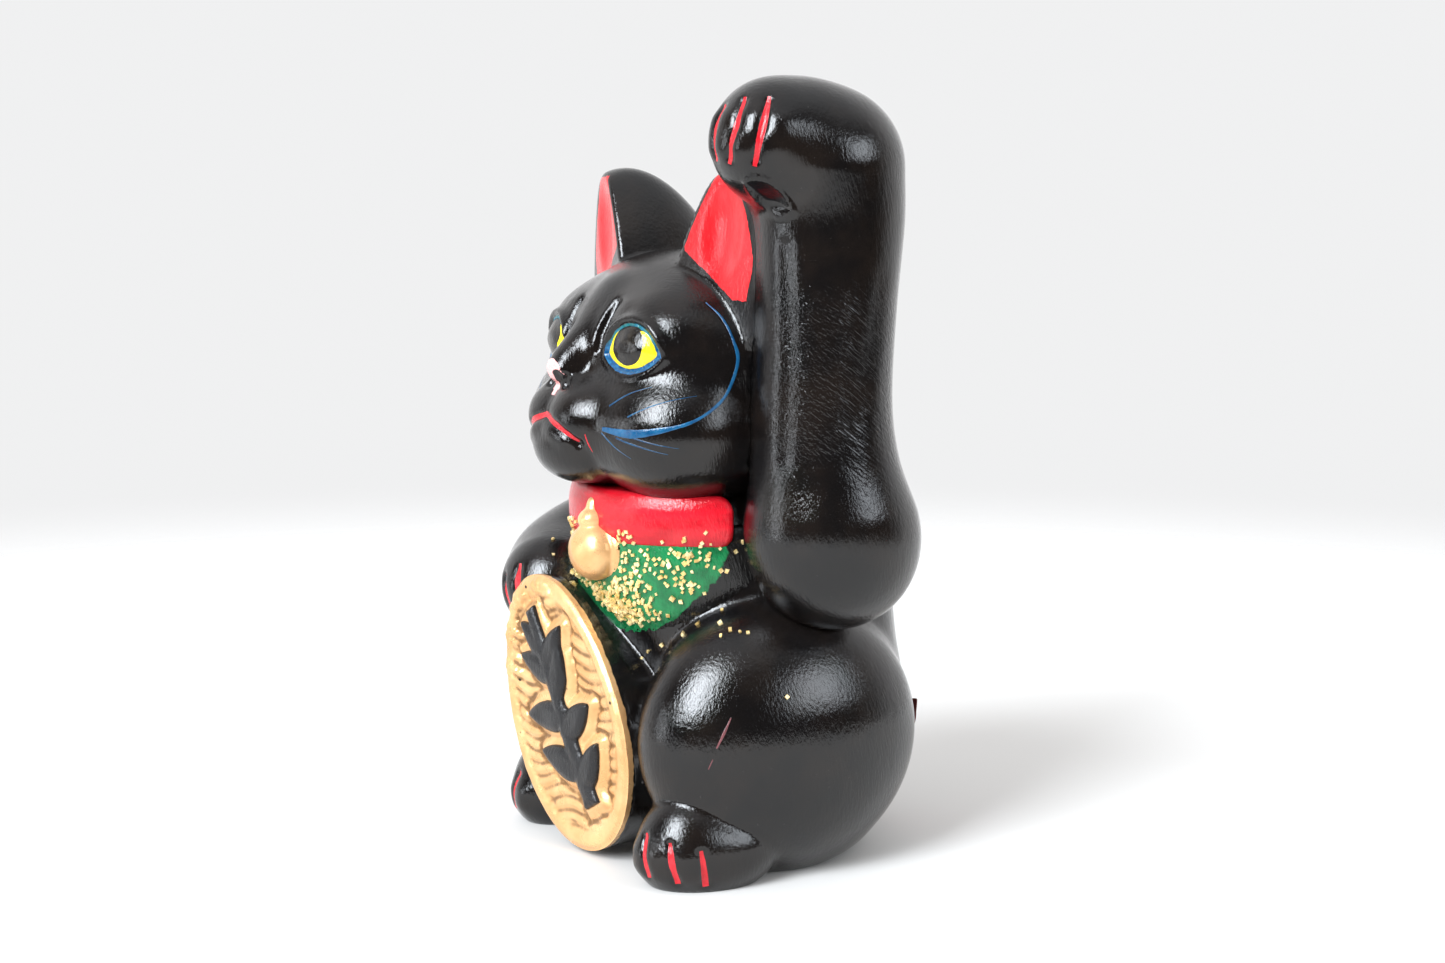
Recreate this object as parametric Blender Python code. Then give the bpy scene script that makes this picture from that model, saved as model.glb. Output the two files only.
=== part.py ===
"""A beckoning cat figurine: a gloss black, slip-cast coin bank that sits with a long raised paw and holds
a gold koban coin.

The casting is built from the sections that a pottery lutes together (torso, head, raised arm, holding arm),
the pieces sprigged onto them (tail, koban and its motif, collar, bib, bell), a paper label and the rubber
stopper of the coin bank.

The frame: +Z is up, the cat looks along -Y, its raised arm is at +X, and the origin is on the floor under the
middle of the bounding box.
"""
import bpy
import bmesh
from math import cos, pi, radians, sin
from mathutils import Euler, Matrix, Vector

MM = 0.001                     # every size and place below is in millimetres
MIDDLE = Vector((5.0, -2.6, 0))  # middle of the bounding box, measured from the cat's own middle plane
WALL = 4.5                     # thickness of the casting
GAP = 0.35                     # between two pieces that touch
FLOOR_THICKNESS = 5.5          # of the casting's base

# Lumps of each section: centre, radii, turn in degrees. A pair is given at +X and mirrored.
TORSO = [((0, 4, 54), (42, 37, 56), (0, 0, 0)),
         ((0, 15, 38), (48, 34, 40), (0, 0, 0)),
         ((0, -9, 80), (33, 30, 36), (0, 0, 0)),
         ((0, 20, 66), (38, 26, 34), (0, 0, 0))]
BASE = ((0, 3, 12), (49, 38, 20), (0, 0, 0))   # widens the flat foot of the casting
HAUNCH = ((35, -3, 36), (25, 40, 37.5), (0, 0, -3))
FOOT = ((39.5, -27, 9), (13.5, 20, 13), (6, 0, -12))
HEAD = [((0, -12, 137), (42, 32, 31), (0, 0, 0)),
        ((0, -44, 109), (11, 12, 9), (0, 0, 0)),
        ((0, -40.5, 143), (7.5, 7, 15), (-38, 0, 0))]
CHEEK = ((17, -24, 122), (25, 23, 21), (0, 0, 0))
MUZZLE = ((6, -45.5, 121), (9.5, 10.5, 8.5), (0, 0, 0))
EYEBALL = ((21.5, -31, 140), (9, 9, 8.5), (0, 0, 0))
PAW = ((50, -13.5, 192.5), (16.5, 16.5, 16.5), (-10, 0, 0))
# Stations of each limb: x, y, z and radius, joined by a smooth curve.
RAISED_ARM = [(50, 9, 85, 19), (50.5, 5, 93, 21), (51, 2, 110, 18.6), (51, 1, 126, 17.6),
              (51, 0.5, 150, 17), (50.5, 1, 174, 17.8), (50, -2, 187, 19.8)]
HOLDING_ARM = [(-32, 4, 82, 18), (-43, -12, 77, 18), (-41, -27, 73, 16.5), (-31, -37, 70, 15)]
TAIL = [(0, 36, 9, 6), (-8, 42, 13, 6.3), (-16, 45, 21, 6), (-17, 45.5, 30, 5.3), (-12, 46.5, 36, 4.6)]
# Bores that join the hollows of the sections.
NECK_BORE = [(0, -2, 70, 15), (0, -8, 100, 15), (0, -10, 125, 15)]
ARM_BORE = [(10, 8, 84, 9), (34, 8, 86, 9), (53, 5, 95, 11), (54, 2, 115, 10), (54.5, 1, 150, 9.5),
            (54, 0, 176, 10.5), (52, -4, 188, 12)]
HOLDING_BORE = [(-20, 4, 80, 9), (-40, -12, 77, 10), (-38, -28, 73, 8)]
HEAD_HOLLOW = ((0, -12, 137), (36, 26.5, 25.5), (0, 0, 0))

EAR_PLACE, EAR_TURN = (30, -20, 149), (0, 3, 22)
EAR_SIZE = (17.5, 27, 38.5)    # half width, depth and height of the half cone behind the dish
EAR_DISH = ((0, -8.5, 20), (12.5, 12, 22), (0, 0, 0))

KOBAN_PLACE, KOBAN_TURN = (-4, -46, 40.5), (3, -16, 7)
KOBAN_HALF_WIDTH, KOBAN_HALF_HEIGHT = 25.5, 38.5
KOBAN_FRONT, KOBAN_BACK = -2.0, 7.5   # along the koban's own Y, its front towards -Y
SEAT_BACK = 20.0               # how far back the seat behind the koban runs into the belly
MOTIF_RELIEF = 1.4
MOTIF_STAND_OFF = 0.35          # how far the motif stands off the koban's face

# The motif is a bamboo sprig on the koban's face, in its X and Z: the stem's root, direction, and its
# length, width and bend, then each leaf's share along the stem, direction, length, width and bend.
STEM_ROOT, STEM_ANGLE = (5, -27), 99
STEM = (57, 5.4, -3.5)
LEAF_OVERLAP = 2.5             # how far a leaf starts before the stem's middle line
MOTIF_LEAVES = [(0.12, 30, 16, 6.6, 2.5), (0.18, 158, 20, 7.4, -2.5), (0.38, 12, 16, 6.8, 2),
                (0.45, 176, 19, 7.4, -3), (0.56, 52, 18, 6.2, 2), (0.66, 152, 17, 6.4, -2),
                (0.72, 28, 16, 6.2, 2), (0.78, 134, 15, 5.6, -1.5)]

COLLAR_PLACE = (0, -8, 93)
COLLAR_RADII = (37.5, 35)      # outer half width and half depth of the band
COLLAR_THICKNESS = 7.0
COLLAR_HALF_HEIGHT = 6.2
COLLAR_HALF_SWEEP = 78         # degrees each way from the front

BIB = ((0, -10, 84), (36, 31.8, 38), (0, 0, 0))
BIB_OUTLINE_PLACE = (2, -34, 87)
BIB_OUTLINE_RADII = (37, 29)
BIB_BACK = -9                  # Y where the bib ends at the sides

BELL = [((0, -40.5, 84), (8.8, 6.8, 8.8), (0, 0, 0)), ((0, -40.5, 94.5), (4, 5.2, 3.4), (0, 0, 0))]

SLOT_CENTRE_Z = 140
SLOT_SIZE = (34, 24, 5)
SLOT_Y = 15

STOPPER_AT = (0, 10)           # centre of the hole in the base
HOLE_RADIUS, RECESS_RADIUS, RECESS_DEPTH = 12.3, 15.6, 3.0
STOPPER_PROFILE = [(0, 2.7), (8, 2.7), (8, 0.6), (14.2, 0.6), (15.2, 1.4), (15.2, 2.65), (11.95, 2.65),
                   (11.95, 7), (11.2, 11.5), (9.6, 12.4), (0, 12.4)]
GRIP_SIZE = (3.2, 17, 2.4)

LABEL_CENTRE = (13, 46, 36)
LABEL_SIZE = (20, 30, 24)      # width, reach of the cutting box, height
LABEL_TURN = -16
LABEL_THICKNESS = 0.8


def place(point):
    """A point of the tables in the part's frame, in metres."""
    return (Vector(point) - MIDDLE) * MM


def matrix(centre, turn=(0, 0, 0), size=(1, 1, 1)):
    """The world matrix of a unit shape that is sized, turned in degrees and placed."""
    angles = Euler([radians(a) for a in turn])
    return Matrix.LocRotScale(place(centre), angles, Vector(size) * MM)


def mirrored(lump):
    """The lump and its mirror image at -X."""
    (x, y, z), radii, (a, b, c) = lump
    return [lump, ((-x, y, z), radii, (a, -b, -c))]


def smooth_stations(stations, steps=6):
    """Stations along a Catmull-Rom curve through the given ones."""
    rows = [Vector(s) for s in stations]
    rows = [2 * rows[0] - rows[1]] + rows + [2 * rows[-1] - rows[-2]]
    points = []
    for a, b, c, d in zip(rows, rows[1:], rows[2:], rows[3:]):
        for step in range(steps):
            t = step / steps
            points.append((2 * b + (c - a) * t + (2 * a - 5 * b + 4 * c - d) * t ** 2
                           + (3 * b - 3 * c + d - a) * t ** 3) / 2)
    return points + [rows[-2]]


def add_lumps(bm, lumps, shrink=0.0):
    for centre, radii, turn in lumps:
        size = [radius - shrink for radius in radii]
        bmesh.ops.create_icosphere(bm, subdivisions=4, radius=1, matrix=matrix(centre, turn, size))


def add_limb(bm, stations):
    for x, y, z, radius in smooth_stations(stations):
        size = (radius, radius, radius)
        bmesh.ops.create_icosphere(bm, subdivisions=3, radius=1, matrix=matrix((x, y, z), size=size))


def add_ear(bm, side):
    """Half of a tall egg with its flat side to the front, where the dish is cut later."""
    ear = bmesh.new()
    bmesh.ops.create_icosphere(ear, subdivisions=4, radius=1)
    parts = ear.verts[:] + ear.edges[:] + ear.faces[:]
    cut = bmesh.ops.bisect_plane(ear, geom=parts, plane_co=(0, 0, 0), plane_no=(0, -1, 0), clear_outer=True)
    rim = [e for e in cut["geom_cut"] if isinstance(e, bmesh.types.BMEdge)]
    bmesh.ops.holes_fill(ear, edges=rim)
    ear.transform(ear_matrix(side) @ Matrix.Diagonal((*EAR_SIZE, 1)))
    half = bpy.data.meshes.new("ear")
    ear.to_mesh(half)
    ear.free()
    bm.from_mesh(half)
    bpy.data.meshes.remove(half)


def ear_matrix(side):
    x, y, z = EAR_PLACE
    a, b, c = EAR_TURN
    return matrix((side * x, y, z), (a, side * b, side * c))


def koban_matrix():
    return matrix(KOBAN_PLACE, KOBAN_TURN)


def to_object(name, bm):
    """Makes an object of the bmesh, with every face turned outwards."""
    bmesh.ops.recalc_face_normals(bm, faces=bm.faces)
    mesh = bpy.data.meshes.new(name)
    bm.to_mesh(mesh)
    bm.free()
    obj = bpy.data.objects.new(name, mesh)
    bpy.context.scene.collection.objects.link(obj)
    return obj


def settle(obj):
    """Bakes the object's modifiers into its mesh."""
    view = bpy.context.evaluated_depsgraph_get()
    baked = bpy.data.meshes.new_from_object(obj.evaluated_get(view))
    old = obj.data
    obj.modifiers.clear()
    obj.data = baked
    baked.name = obj.name
    bpy.data.meshes.remove(old)
    return obj


def skin(name, bm, triangles, voxel=2.0, passes=6):
    """One closed, smoothed skin over everything in bm, thinned out to a number of triangles."""
    obj = to_object(name, bm)
    remesh = obj.modifiers.new("skin", "REMESH")
    remesh.mode = "VOXEL"
    remesh.voxel_size = voxel * MM
    smooth = obj.modifiers.new("smooth", "SMOOTH")
    smooth.factor = 0.5
    smooth.iterations = passes
    settle(obj)
    thin = obj.modifiers.new("thin", "DECIMATE")
    thin.ratio = min(1.0, triangles / (2 * len(obj.data.polygons)))
    thin.use_collapse_triangulate = True
    return settle(obj)


def boolean(obj, other, operation, keep_other=False, solver="EXACT"):
    """Combines obj with the other object, then removes the other one."""
    step = obj.modifiers.new("boolean", "BOOLEAN")
    step.operation = operation
    step.solver = solver
    step.object = other
    settle(obj)
    if not keep_other:
        bpy.data.objects.remove(other)
    return obj


def grown(obj, by=GAP):
    """A copy of the object, larger all round."""
    copy = bpy.data.objects.new(obj.name + "_room", obj.data.copy())
    bpy.context.scene.collection.objects.link(copy)
    swell = copy.modifiers.new("swell", "DISPLACE")
    swell.strength = by * MM
    swell.mid_level = 0
    return settle(copy)


def make_room(obj, *neighbours):
    """Cuts the neighbours out of obj, with the gap that touching pieces keep.

    A grown neighbour folds over itself in its creases, where the exact solver leaves edges open.
    """
    for neighbour in neighbours:
        boolean(obj, grown(neighbour), "DIFFERENCE", solver="MANIFOLD")
    return keep_largest(obj)


def keep_largest(obj):
    """Drops the crumbs that a cut leaves beside the piece."""
    bm = bmesh.new()
    bm.from_mesh(obj.data)
    bmesh.ops.triangulate(bm, faces=bm.faces)
    left, islands = set(bm.verts), []
    while left:
        found = {left.pop()}
        front = found
        while front:
            front = {e.other_vert(v) for v in front for e in v.link_edges} - found
            found |= front
        islands.append(found)
        left -= found
    largest = max(islands, key=len)
    crumbs = [v for v in bm.verts if v not in largest]
    bmesh.ops.delete(bm, geom=crumbs, context="VERTS")
    bm.to_mesh(obj.data)
    bm.free()
    return obj


def box(name, centre, size, turn=(0, 0, 0)):
    bm = bmesh.new()
    bmesh.ops.create_cube(bm, size=1, matrix=matrix(centre, turn, size))
    return to_object(name, bm)


def add_stack(bm, rings):
    """A closed solid through rings of points, each ring with as many points as the next."""
    loops = [[bm.verts.new(point) for point in ring] for ring in rings]
    for low, high in zip(loops, loops[1:]):
        for i in range(len(low)):
            j = (i + 1) % len(low)
            bm.faces.new((low[i], low[j], high[j], high[i]))
    bm.faces.new(loops[0])
    bm.faces.new(loops[-1])


def stacked(name, world, rings):
    bm = bmesh.new()
    add_stack(bm, rings)
    bm.transform(world)
    return to_object(name, bm)


def oval_disc(name, world, half_width, half_height, front, back, sides=64, bevel=0.8):
    """An oval plate in the XZ plane of the given matrix, from its front to its back along Y."""
    angles = [2 * pi * i / sides for i in range(sides)]
    rings = []
    for y, inset in ((front, bevel), (front + bevel, 0), (back, 0)):
        w, h = half_width - inset, half_height - inset
        rings.append([(w * cos(a), y, h * sin(a)) for a in angles])
    return stacked(name, world, rings)


def finish(obj, colour, roughness, metallic=0.0, sharp=40):
    """The piece's own material and shading."""
    look = bpy.data.materials.new(obj.name)
    look.use_nodes = True
    shader = look.node_tree.nodes["Principled BSDF"]
    shader.inputs["Base Color"].default_value = (*colour, 1)
    shader.inputs["Roughness"].default_value = roughness
    shader.inputs["Metallic"].default_value = metallic
    obj.data.materials.clear()
    obj.data.materials.append(look)
    obj.data.shade_smooth()
    obj.data.set_sharp_from_angle(angle=radians(sharp))


def torso_skin():
    bm = bmesh.new()
    add_lumps(bm, TORSO + [BASE] + mirrored(HAUNCH) + mirrored(FOOT))
    body = skin("torso", bm, triangles=1300)
    seat = oval_disc("seat", koban_matrix(), KOBAN_HALF_WIDTH - 1, KOBAN_HALF_HEIGHT - 1,
                     KOBAN_BACK + GAP, SEAT_BACK, sides=40)
    boolean(body, seat, "UNION")
    return boolean(body, box("below", (0, 0, -20), (200, 200, 40)), "DIFFERENCE")


def head_skin():
    bm = bmesh.new()
    add_lumps(bm, HEAD + mirrored(CHEEK) + mirrored(MUZZLE) + mirrored(EYEBALL))
    for side in (1, -1):
        add_ear(bm, side)
    head = skin("head", bm, triangles=1500, voxel=1.6, passes=5)
    for side in (1, -1):
        dish = bmesh.new()
        centre, radii, _ = EAR_DISH
        local = Matrix.LocRotScale(Vector(centre), None, Vector(radii))
        bmesh.ops.create_icosphere(dish, subdivisions=3, radius=1, matrix=ear_matrix(side) @ local)
        boolean(head, to_object("dish", dish), "DIFFERENCE")
    return head


def limb_skin(name, stations, triangles, lumps=()):
    bm = bmesh.new()
    add_limb(bm, stations)
    add_lumps(bm, lumps)
    return skin(name, bm, triangles)


def hollow():
    """The one hollow that runs through torso, head and arms, open at no place by itself."""
    bm = bmesh.new()
    add_lumps(bm, TORSO + [BASE] + mirrored(HAUNCH), shrink=WALL)
    add_lumps(bm, [HEAD_HOLLOW])
    for bore in (NECK_BORE, ARM_BORE, HOLDING_BORE):
        add_limb(bm, bore)
    space = skin("hollow", bm, triangles=700, voxel=2.5)
    below = box("below", (0, 0, FLOOR_THICKNESS - 20), (200, 200, 40))
    return boolean(space, below, "DIFFERENCE")


def turned(name, profile, sides=28):
    """A solid turned about the vertical line through the stopper's centre."""
    bm = bmesh.new()
    x, y = STOPPER_AT
    points = [bm.verts.new((r, 0, z)) for r, z in profile]
    edges = [bm.edges.new(pair) for pair in zip(points, points[1:])]
    bmesh.ops.spin(bm, geom=points + edges, axis=(0, 0, 1), cent=(0, 0, 0), angle=2 * pi, steps=sides)
    bmesh.ops.remove_doubles(bm, verts=bm.verts, dist=0.001)
    bm.transform(matrix((x, y, 0)))
    return to_object(name, bm)


def stopper_hole():
    profile = [(0, -1), (RECESS_RADIUS, -1), (RECESS_RADIUS, RECESS_DEPTH), (HOLE_RADIUS, RECESS_DEPTH),
               (HOLE_RADIUS, FLOOR_THICKNESS + 3), (0, FLOOR_THICKNESS + 3)]
    return turned("hole", profile)


def build_stopper():
    plug = turned("stopper", STOPPER_PROFILE)
    x, y = STOPPER_AT
    _, _, depth = GRIP_SIZE
    grip = box("grip", (x, y, 0.7 + depth / 2), GRIP_SIZE)
    return boolean(plug, grip, "UNION")


def spine(length, bend, t):
    """The middle of a stroke that starts at (0, 0) along +X and bends to one side, at the share t."""
    return Vector((length * t, bend * sin(pi * t / 2) * t))


def stroke_outline(length, width, bend, steps=7):
    """Outline of a brush stroke that is pointed at both ends."""
    def edge(side):
        shares = [i / steps for i in range(1, steps)]
        return [spine(length, bend, t) + Vector((0, side * width / 2 * sin(pi * t ** 0.8))) for t in shares]
    return [Vector((0, 0))] + edge(-1) + [spine(length, bend, 1)] + edge(1)[::-1]


def brush(length, width, bend):
    """The three outlines of a stroke from its crest to its foot, narrower at the crest."""
    return [stroke_outline(length, width * part, bend) for part in (0.55, 0.9, 1.0)]


def build_motif():
    """A raised bamboo sprig in brush strokes: a jointed stem and its leaves."""
    back = KOBAN_FRONT - MOTIF_STAND_OFF
    levels = (back - MOTIF_RELIEF, back - MOTIF_RELIEF / 2, back)
    upright = Matrix.Rotation(radians(STEM_ANGLE), 2)
    strokes = [(Vector(STEM_ROOT), STEM_ANGLE, brush(*STEM))]
    for share, turn, length, width, bend in MOTIF_LEAVES:
        root = Vector(STEM_ROOT) + upright @ spine(STEM[0], STEM[2], share)
        start = root - Matrix.Rotation(radians(turn), 2) @ Vector((LEAF_OVERLAP, 0))
        strokes.append((start, turn, brush(length, width, bend)))
    bm = bmesh.new()
    for (x, z), turn, outlines in strokes:
        spin = Matrix.Rotation(radians(turn), 2)
        rings = []
        for y, points in zip(levels, outlines):
            rings.append([(x + p.x, y, z + p.y) for p in (spin @ point for point in points)])
        add_stack(bm, rings)
    bm.transform(koban_matrix())
    return keep_largest(skin("koban_motif", bm, triangles=760, voxel=0.45, passes=2))


def build_collar():
    """A band round the front of the neck, between the two arms."""
    steps = 20
    a, b = COLLAR_RADII
    h, t = COLLAR_HALF_HEIGHT, COLLAR_THICKNESS
    section = [(-t, -h), (-1.8, -h), (-0.4, -h + 1.6), (0, 0), (-0.4, h - 1.6), (-1.8, h), (-t, h)]
    rings = []
    for i in range(steps + 1):
        angle = radians(-90 + COLLAR_HALF_SWEEP * (2 * i / steps - 1))
        rings.append([((a + out) * cos(angle), (b + out) * sin(angle), up) for out, up in section])
    return stacked("collar", matrix(COLLAR_PLACE), rings)


def build_bib():
    bm = bmesh.new()
    add_lumps(bm, [BIB])
    bib = skin("bib", bm, triangles=500, passes=0)
    outline = oval_disc("outline", matrix(BIB_OUTLINE_PLACE), *BIB_OUTLINE_RADII,
                        -40, BIB_BACK - BIB_OUTLINE_PLACE[1])
    return boolean(bib, outline, "INTERSECT")


def build_label(torso):
    """A paper label that lies on the cat's back."""
    label = grown(torso, GAP + LABEL_THICKNESS)
    label.name = "back_label"
    stamp = box("stamp", LABEL_CENTRE, LABEL_SIZE, (0, 0, LABEL_TURN))
    boolean(label, stamp, "INTERSECT")
    return make_room(label, torso)


def main():
    for obj in list(bpy.data.objects):
        bpy.data.objects.remove(obj)
    torso, head = torso_skin(), head_skin()
    raised_arm = limb_skin("raised_arm", RAISED_ARM, 600, [PAW])
    holding_arm = limb_skin("holding_arm", HOLDING_ARM, 400)
    koban = oval_disc("koban", koban_matrix(), KOBAN_HALF_WIDTH, KOBAN_HALF_HEIGHT, KOBAN_FRONT, KOBAN_BACK)
    make_room(koban, torso)
    collar = make_room(build_collar(), torso, head, raised_arm, holding_arm)
    bib = make_room(build_bib(), torso, head, raised_arm, holding_arm, collar, koban)
    bm = bmesh.new()
    add_lumps(bm, BELL)
    bell = make_room(skin("bell", bm, 240, voxel=0.8, passes=2), torso, collar, bib, koban)
    tail = make_room(limb_skin("tail", TAIL, 240), torso)
    label = build_label(torso)
    motif = build_motif()
    stopper = build_stopper()
    space = hollow()
    make_room(raised_arm, torso, head)
    make_room(holding_arm, torso, head, koban)
    make_room(torso, head)
    boolean(head, box("slot", (0, SLOT_Y, SLOT_CENTRE_Z), SLOT_SIZE), "DIFFERENCE")
    boolean(torso, stopper_hole(), "DIFFERENCE")
    for section in (torso, head, raised_arm, holding_arm):
        boolean(section, space, "DIFFERENCE", keep_other=True, solver="MANIFOLD")
        keep_largest(section)
    bpy.data.objects.remove(space)

    black, red, gold = (0.012, 0.011, 0.012), (0.55, 0.012, 0.02), (0.72, 0.48, 0.22)
    for piece in (torso, head, raised_arm, holding_arm, tail):
        finish(piece, black, 0.12)
    finish(koban, gold, 0.42, 0.6)
    finish(motif, black, 0.3)
    finish(bell, gold, 0.4, 0.6)
    finish(collar, red, 0.15)
    finish(bib, (0.01, 0.16, 0.045), 0.15)
    finish(label, (0.16, 0.025, 0.02), 0.8)
    finish(stopper, (0.03, 0.03, 0.032), 0.7)


main()
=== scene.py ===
"""Looks of the beckoning cat figurine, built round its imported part.

The shapes are distance fields in millimetres in the cat's own frame: x = 0 is its middle plane, it looks
along -Y, and z = 0 is the floor. Their zero surfaces become meshes, which are then shifted to the part's
frame.
"""

from functools import reduce
from math import cos, pi, radians, sin, tau

import bmesh
import bpy
import numpy as np
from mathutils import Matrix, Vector


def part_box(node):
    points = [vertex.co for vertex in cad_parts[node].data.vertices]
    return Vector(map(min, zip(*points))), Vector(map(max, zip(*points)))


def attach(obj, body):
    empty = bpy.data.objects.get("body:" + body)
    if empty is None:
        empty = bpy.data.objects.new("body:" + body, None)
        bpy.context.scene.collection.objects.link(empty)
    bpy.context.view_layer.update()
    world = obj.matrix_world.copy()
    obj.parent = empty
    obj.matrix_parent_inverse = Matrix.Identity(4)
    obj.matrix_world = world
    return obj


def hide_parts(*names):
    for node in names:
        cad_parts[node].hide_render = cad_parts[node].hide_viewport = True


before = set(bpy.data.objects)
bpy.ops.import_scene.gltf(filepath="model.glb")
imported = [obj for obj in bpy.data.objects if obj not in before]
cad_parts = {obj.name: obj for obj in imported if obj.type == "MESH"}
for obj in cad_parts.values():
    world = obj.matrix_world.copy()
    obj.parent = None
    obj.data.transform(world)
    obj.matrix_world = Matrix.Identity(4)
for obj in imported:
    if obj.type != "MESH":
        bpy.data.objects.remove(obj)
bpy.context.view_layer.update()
COARSE = 1.0
F = np.float32

# The stopper's axis is on the cat's middle plane, and the cat's frame is measured from it.
STOPPER_AT = (0, 10)
_low, _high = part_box("stopper")
SHIFT = np.array([(_low.x + _high.x) / 2 * 1000 - STOPPER_AT[0],
                  (_low.y + _high.y) / 2 * 1000 - STOPPER_AT[1], 0])

# Lumps: centre, radii, turn in degrees. A paired lump is given at +X.
TORSO = [((0, 4, 54), (42, 37, 56)), ((0, 15, 38), (48, 34, 40)), ((0, -9, 80), (32.5, 29.5, 36)),
         ((0, 20, 66), (38, 26, 34))]
BASE = ((0, 3, 12), (49, 38, 20))
HAUNCH = ((35, -3, 36), (25, 40, 37.5), (0, 0, -3))
FOOT = ((39.5, -27, 9), (13.5, 20, 13), (6, 0, -12))
TOES = ((38.5, -31.5, 11.5), (12.5, 13.5, 14), (10, 0, -12))
SKULL = ((0, -12, 136), (42, 32, 28.8))
EYE_SWELL = ((20, -27, 141.5), (14, 13.5, 12.5))
CHEEK = ((17.5, -24, 118), (25, 23.5, 20))
JOWL = ((18, -10, 114), (22, 24, 15))
SNOUT = ((0, -36, 119.5), (23, 16.5, 14))
CHIN = ((0, -43.5, 112.5), (14, 12.5, 9.8))
BRIDGE = ((0, -30.5, 150), (0, -46.5, 135), 6.8, 5.4)     # its two ends and their radii
MUZZLE = ((6.5, -45.2, 121), (9.8, 9.5, 8.5))
PAW = ((50, -13.5, 192.5), (16.5, 16.5, 16.5), (-10, 0, 0))
ELBOW = ((50, 5, 88.0), (20.6, 22.6, 21.9))
PAW_TOP = ((50, -6, 193), (16.5, 14, 15.6))
BIB = ((0, -10, 84), (36, 31.8, 38))

# Limbs: stations of x, y, z and radius.
RAISED_ARM = [(50.4, 2.4, 98, 19.6), (50.4, 1.4, 112, 18.9), (50.4, 0.6, 128, 18.2),
              (50.6, 1.4, 150, 18.4), (50.3, 2.4, 172, 19.6), (50, 0.4, 186, 21.4)]
HOLDING_ARM = [(-32, 4, 82, 18), (-43, -12, 77, 18), (-41, -27, 73, 16.5), (-31, -37, 70, 15)]
TAIL = [(0, 36, 9, 6), (-8, 42, 13, 6.3), (-16, 45, 21, 6), (-17, 45.5, 30, 5.3), (-12, 46.5, 36, 4.6)]

EAR_PLACE, EAR_TURN = (30, -20, 149), (0, 3, 14)
KOBAN_PLACE, KOBAN_TURN = (-4.9, -46.2, 39.1), (3, -21.0, 7)
KOBAN_RADII = (26.3, 38.6)
KOBAN_EGG = 0.10                        # how much narrower its top is than its middle
COLLAR_PLACE, COLLAR_RADII = (0, -8, 94.3), (37.5, 35)
HOLE_RADIUS, RECESS_RADIUS, RECESS_DEPTH = 12.3, 15.6, 3.0


# ---------------------------------------------------------------- distance fields

def rotation(turn):
    a, b, c = np.radians(turn)
    x = np.array([[1, 0, 0], [0, cos(a), -sin(a)], [0, sin(a), cos(a)]])
    y = np.array([[cos(b), 0, sin(b)], [0, 1, 0], [-sin(b), 0, cos(b)]])
    z = np.array([[cos(c), -sin(c), 0], [sin(c), cos(c), 0], [0, 0, 1]])
    return (z @ y @ x).astype(F)


def local(p, place, turn=None):
    q = p - np.array(place, F)
    return q if turn is None else q @ rotation(turn)


def ellipsoid(p, centre, radii, turn=None):
    q = local(p, centre, turn)
    r = np.array(radii, F)
    near = np.sqrt(((q / r) ** 2).sum(-1)) + 1e-9
    slope = np.sqrt(((q / (r * r)) ** 2).sum(-1)) + 1e-9
    return near * (near - 1) / slope


def capsule(p, a, b, ra, rb):
    a, b = np.array(a, F), np.array(b, F)
    ab = b - a
    t = np.clip(((p - a) @ ab) / F(ab @ ab), 0, 1)
    return np.sqrt(((p - a - t[..., None] * ab) ** 2).sum(-1)) - (ra + (rb - ra) * t)


def join(a, b, k):
    h = np.maximum(k - np.abs(a - b), 0) / k
    return np.minimum(a, b) - h * h * h * k / 6


def cut(a, b, k):
    return -join(-a, -b, k)


def curve(points, steps):
    """Points along a Catmull-Rom curve through the given ones."""
    rows = np.array(points, float)
    rows = np.vstack([2 * rows[0] - rows[1], rows, 2 * rows[-1] - rows[-2]])
    out = []
    for a, b, c, d in zip(rows, rows[1:], rows[2:], rows[3:]):
        for t in np.arange(steps) / steps:
            out.append((2 * b + (c - a) * t + (2 * a - 5 * b + 4 * c - d) * t * t
                        + (3 * b - 3 * c + d - a) * t ** 3) / 2)
    return np.array(out + [rows[-2]])


def limb(p, stations, steps=10):
    rows = curve(stations, steps)
    return reduce(np.minimum, (capsule(p, a[:3], b[:3], a[3], b[3]) for a, b in zip(rows, rows[1:])))


def column(p, stations):
    """A round upright limb: its middle and radius follow the height."""
    rows = curve(stations, 24)
    z = np.clip(p[..., 2], rows[0, 2], rows[-1, 2])
    x, y, r = (np.interp(z, rows[:, 2], rows[:, i]).astype(F) for i in (0, 1, 3))
    return (np.sqrt((p[..., 0] - x) ** 2 + (p[..., 1] - y) ** 2 + (p[..., 2] - z) ** 2) - r) * F(0.96)


def line_distance(p, points):
    return reduce(np.minimum, (capsule(p, a, b, 0, 0) for a, b in zip(points, points[1:])))


def press(d, p, points, depth, width):
    """Presses a groove along the line into the field, or raises a ridge where the depth is negative."""
    pts = np.array(points, F)
    reach = 3 * width
    near = (np.abs(d) < reach + 3) & ((p > pts.min(0) - reach) & (p < pts.max(0) + reach)).all(-1)
    if near.any():
        e = line_distance(p[near], pts) if len(pts) > 1 else np.sqrt(((p[near] - pts[0]) ** 2).sum(-1))
        d[near] += depth * np.exp(-(e / width) ** 2).astype(F)
    return d


def press_all(d, p, lines, depth, width):
    for line in lines:
        d = press(d, p, line, depth, width)
    return d


def only_in(low, high, field):
    """The field inside a box with room round the shape, and a large value elsewhere."""
    def boxed(p):
        inside = ((p > np.array(low, F)) & (p < np.array(high, F))).all(-1)
        d = np.full(p.shape[:-1], 40, F)
        if inside.any():
            d[inside] = field(p[inside])
        return d
    return boxed


def mirror(p):
    q = p.copy()
    q[..., 0] = np.abs(q[..., 0])
    return q


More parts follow.
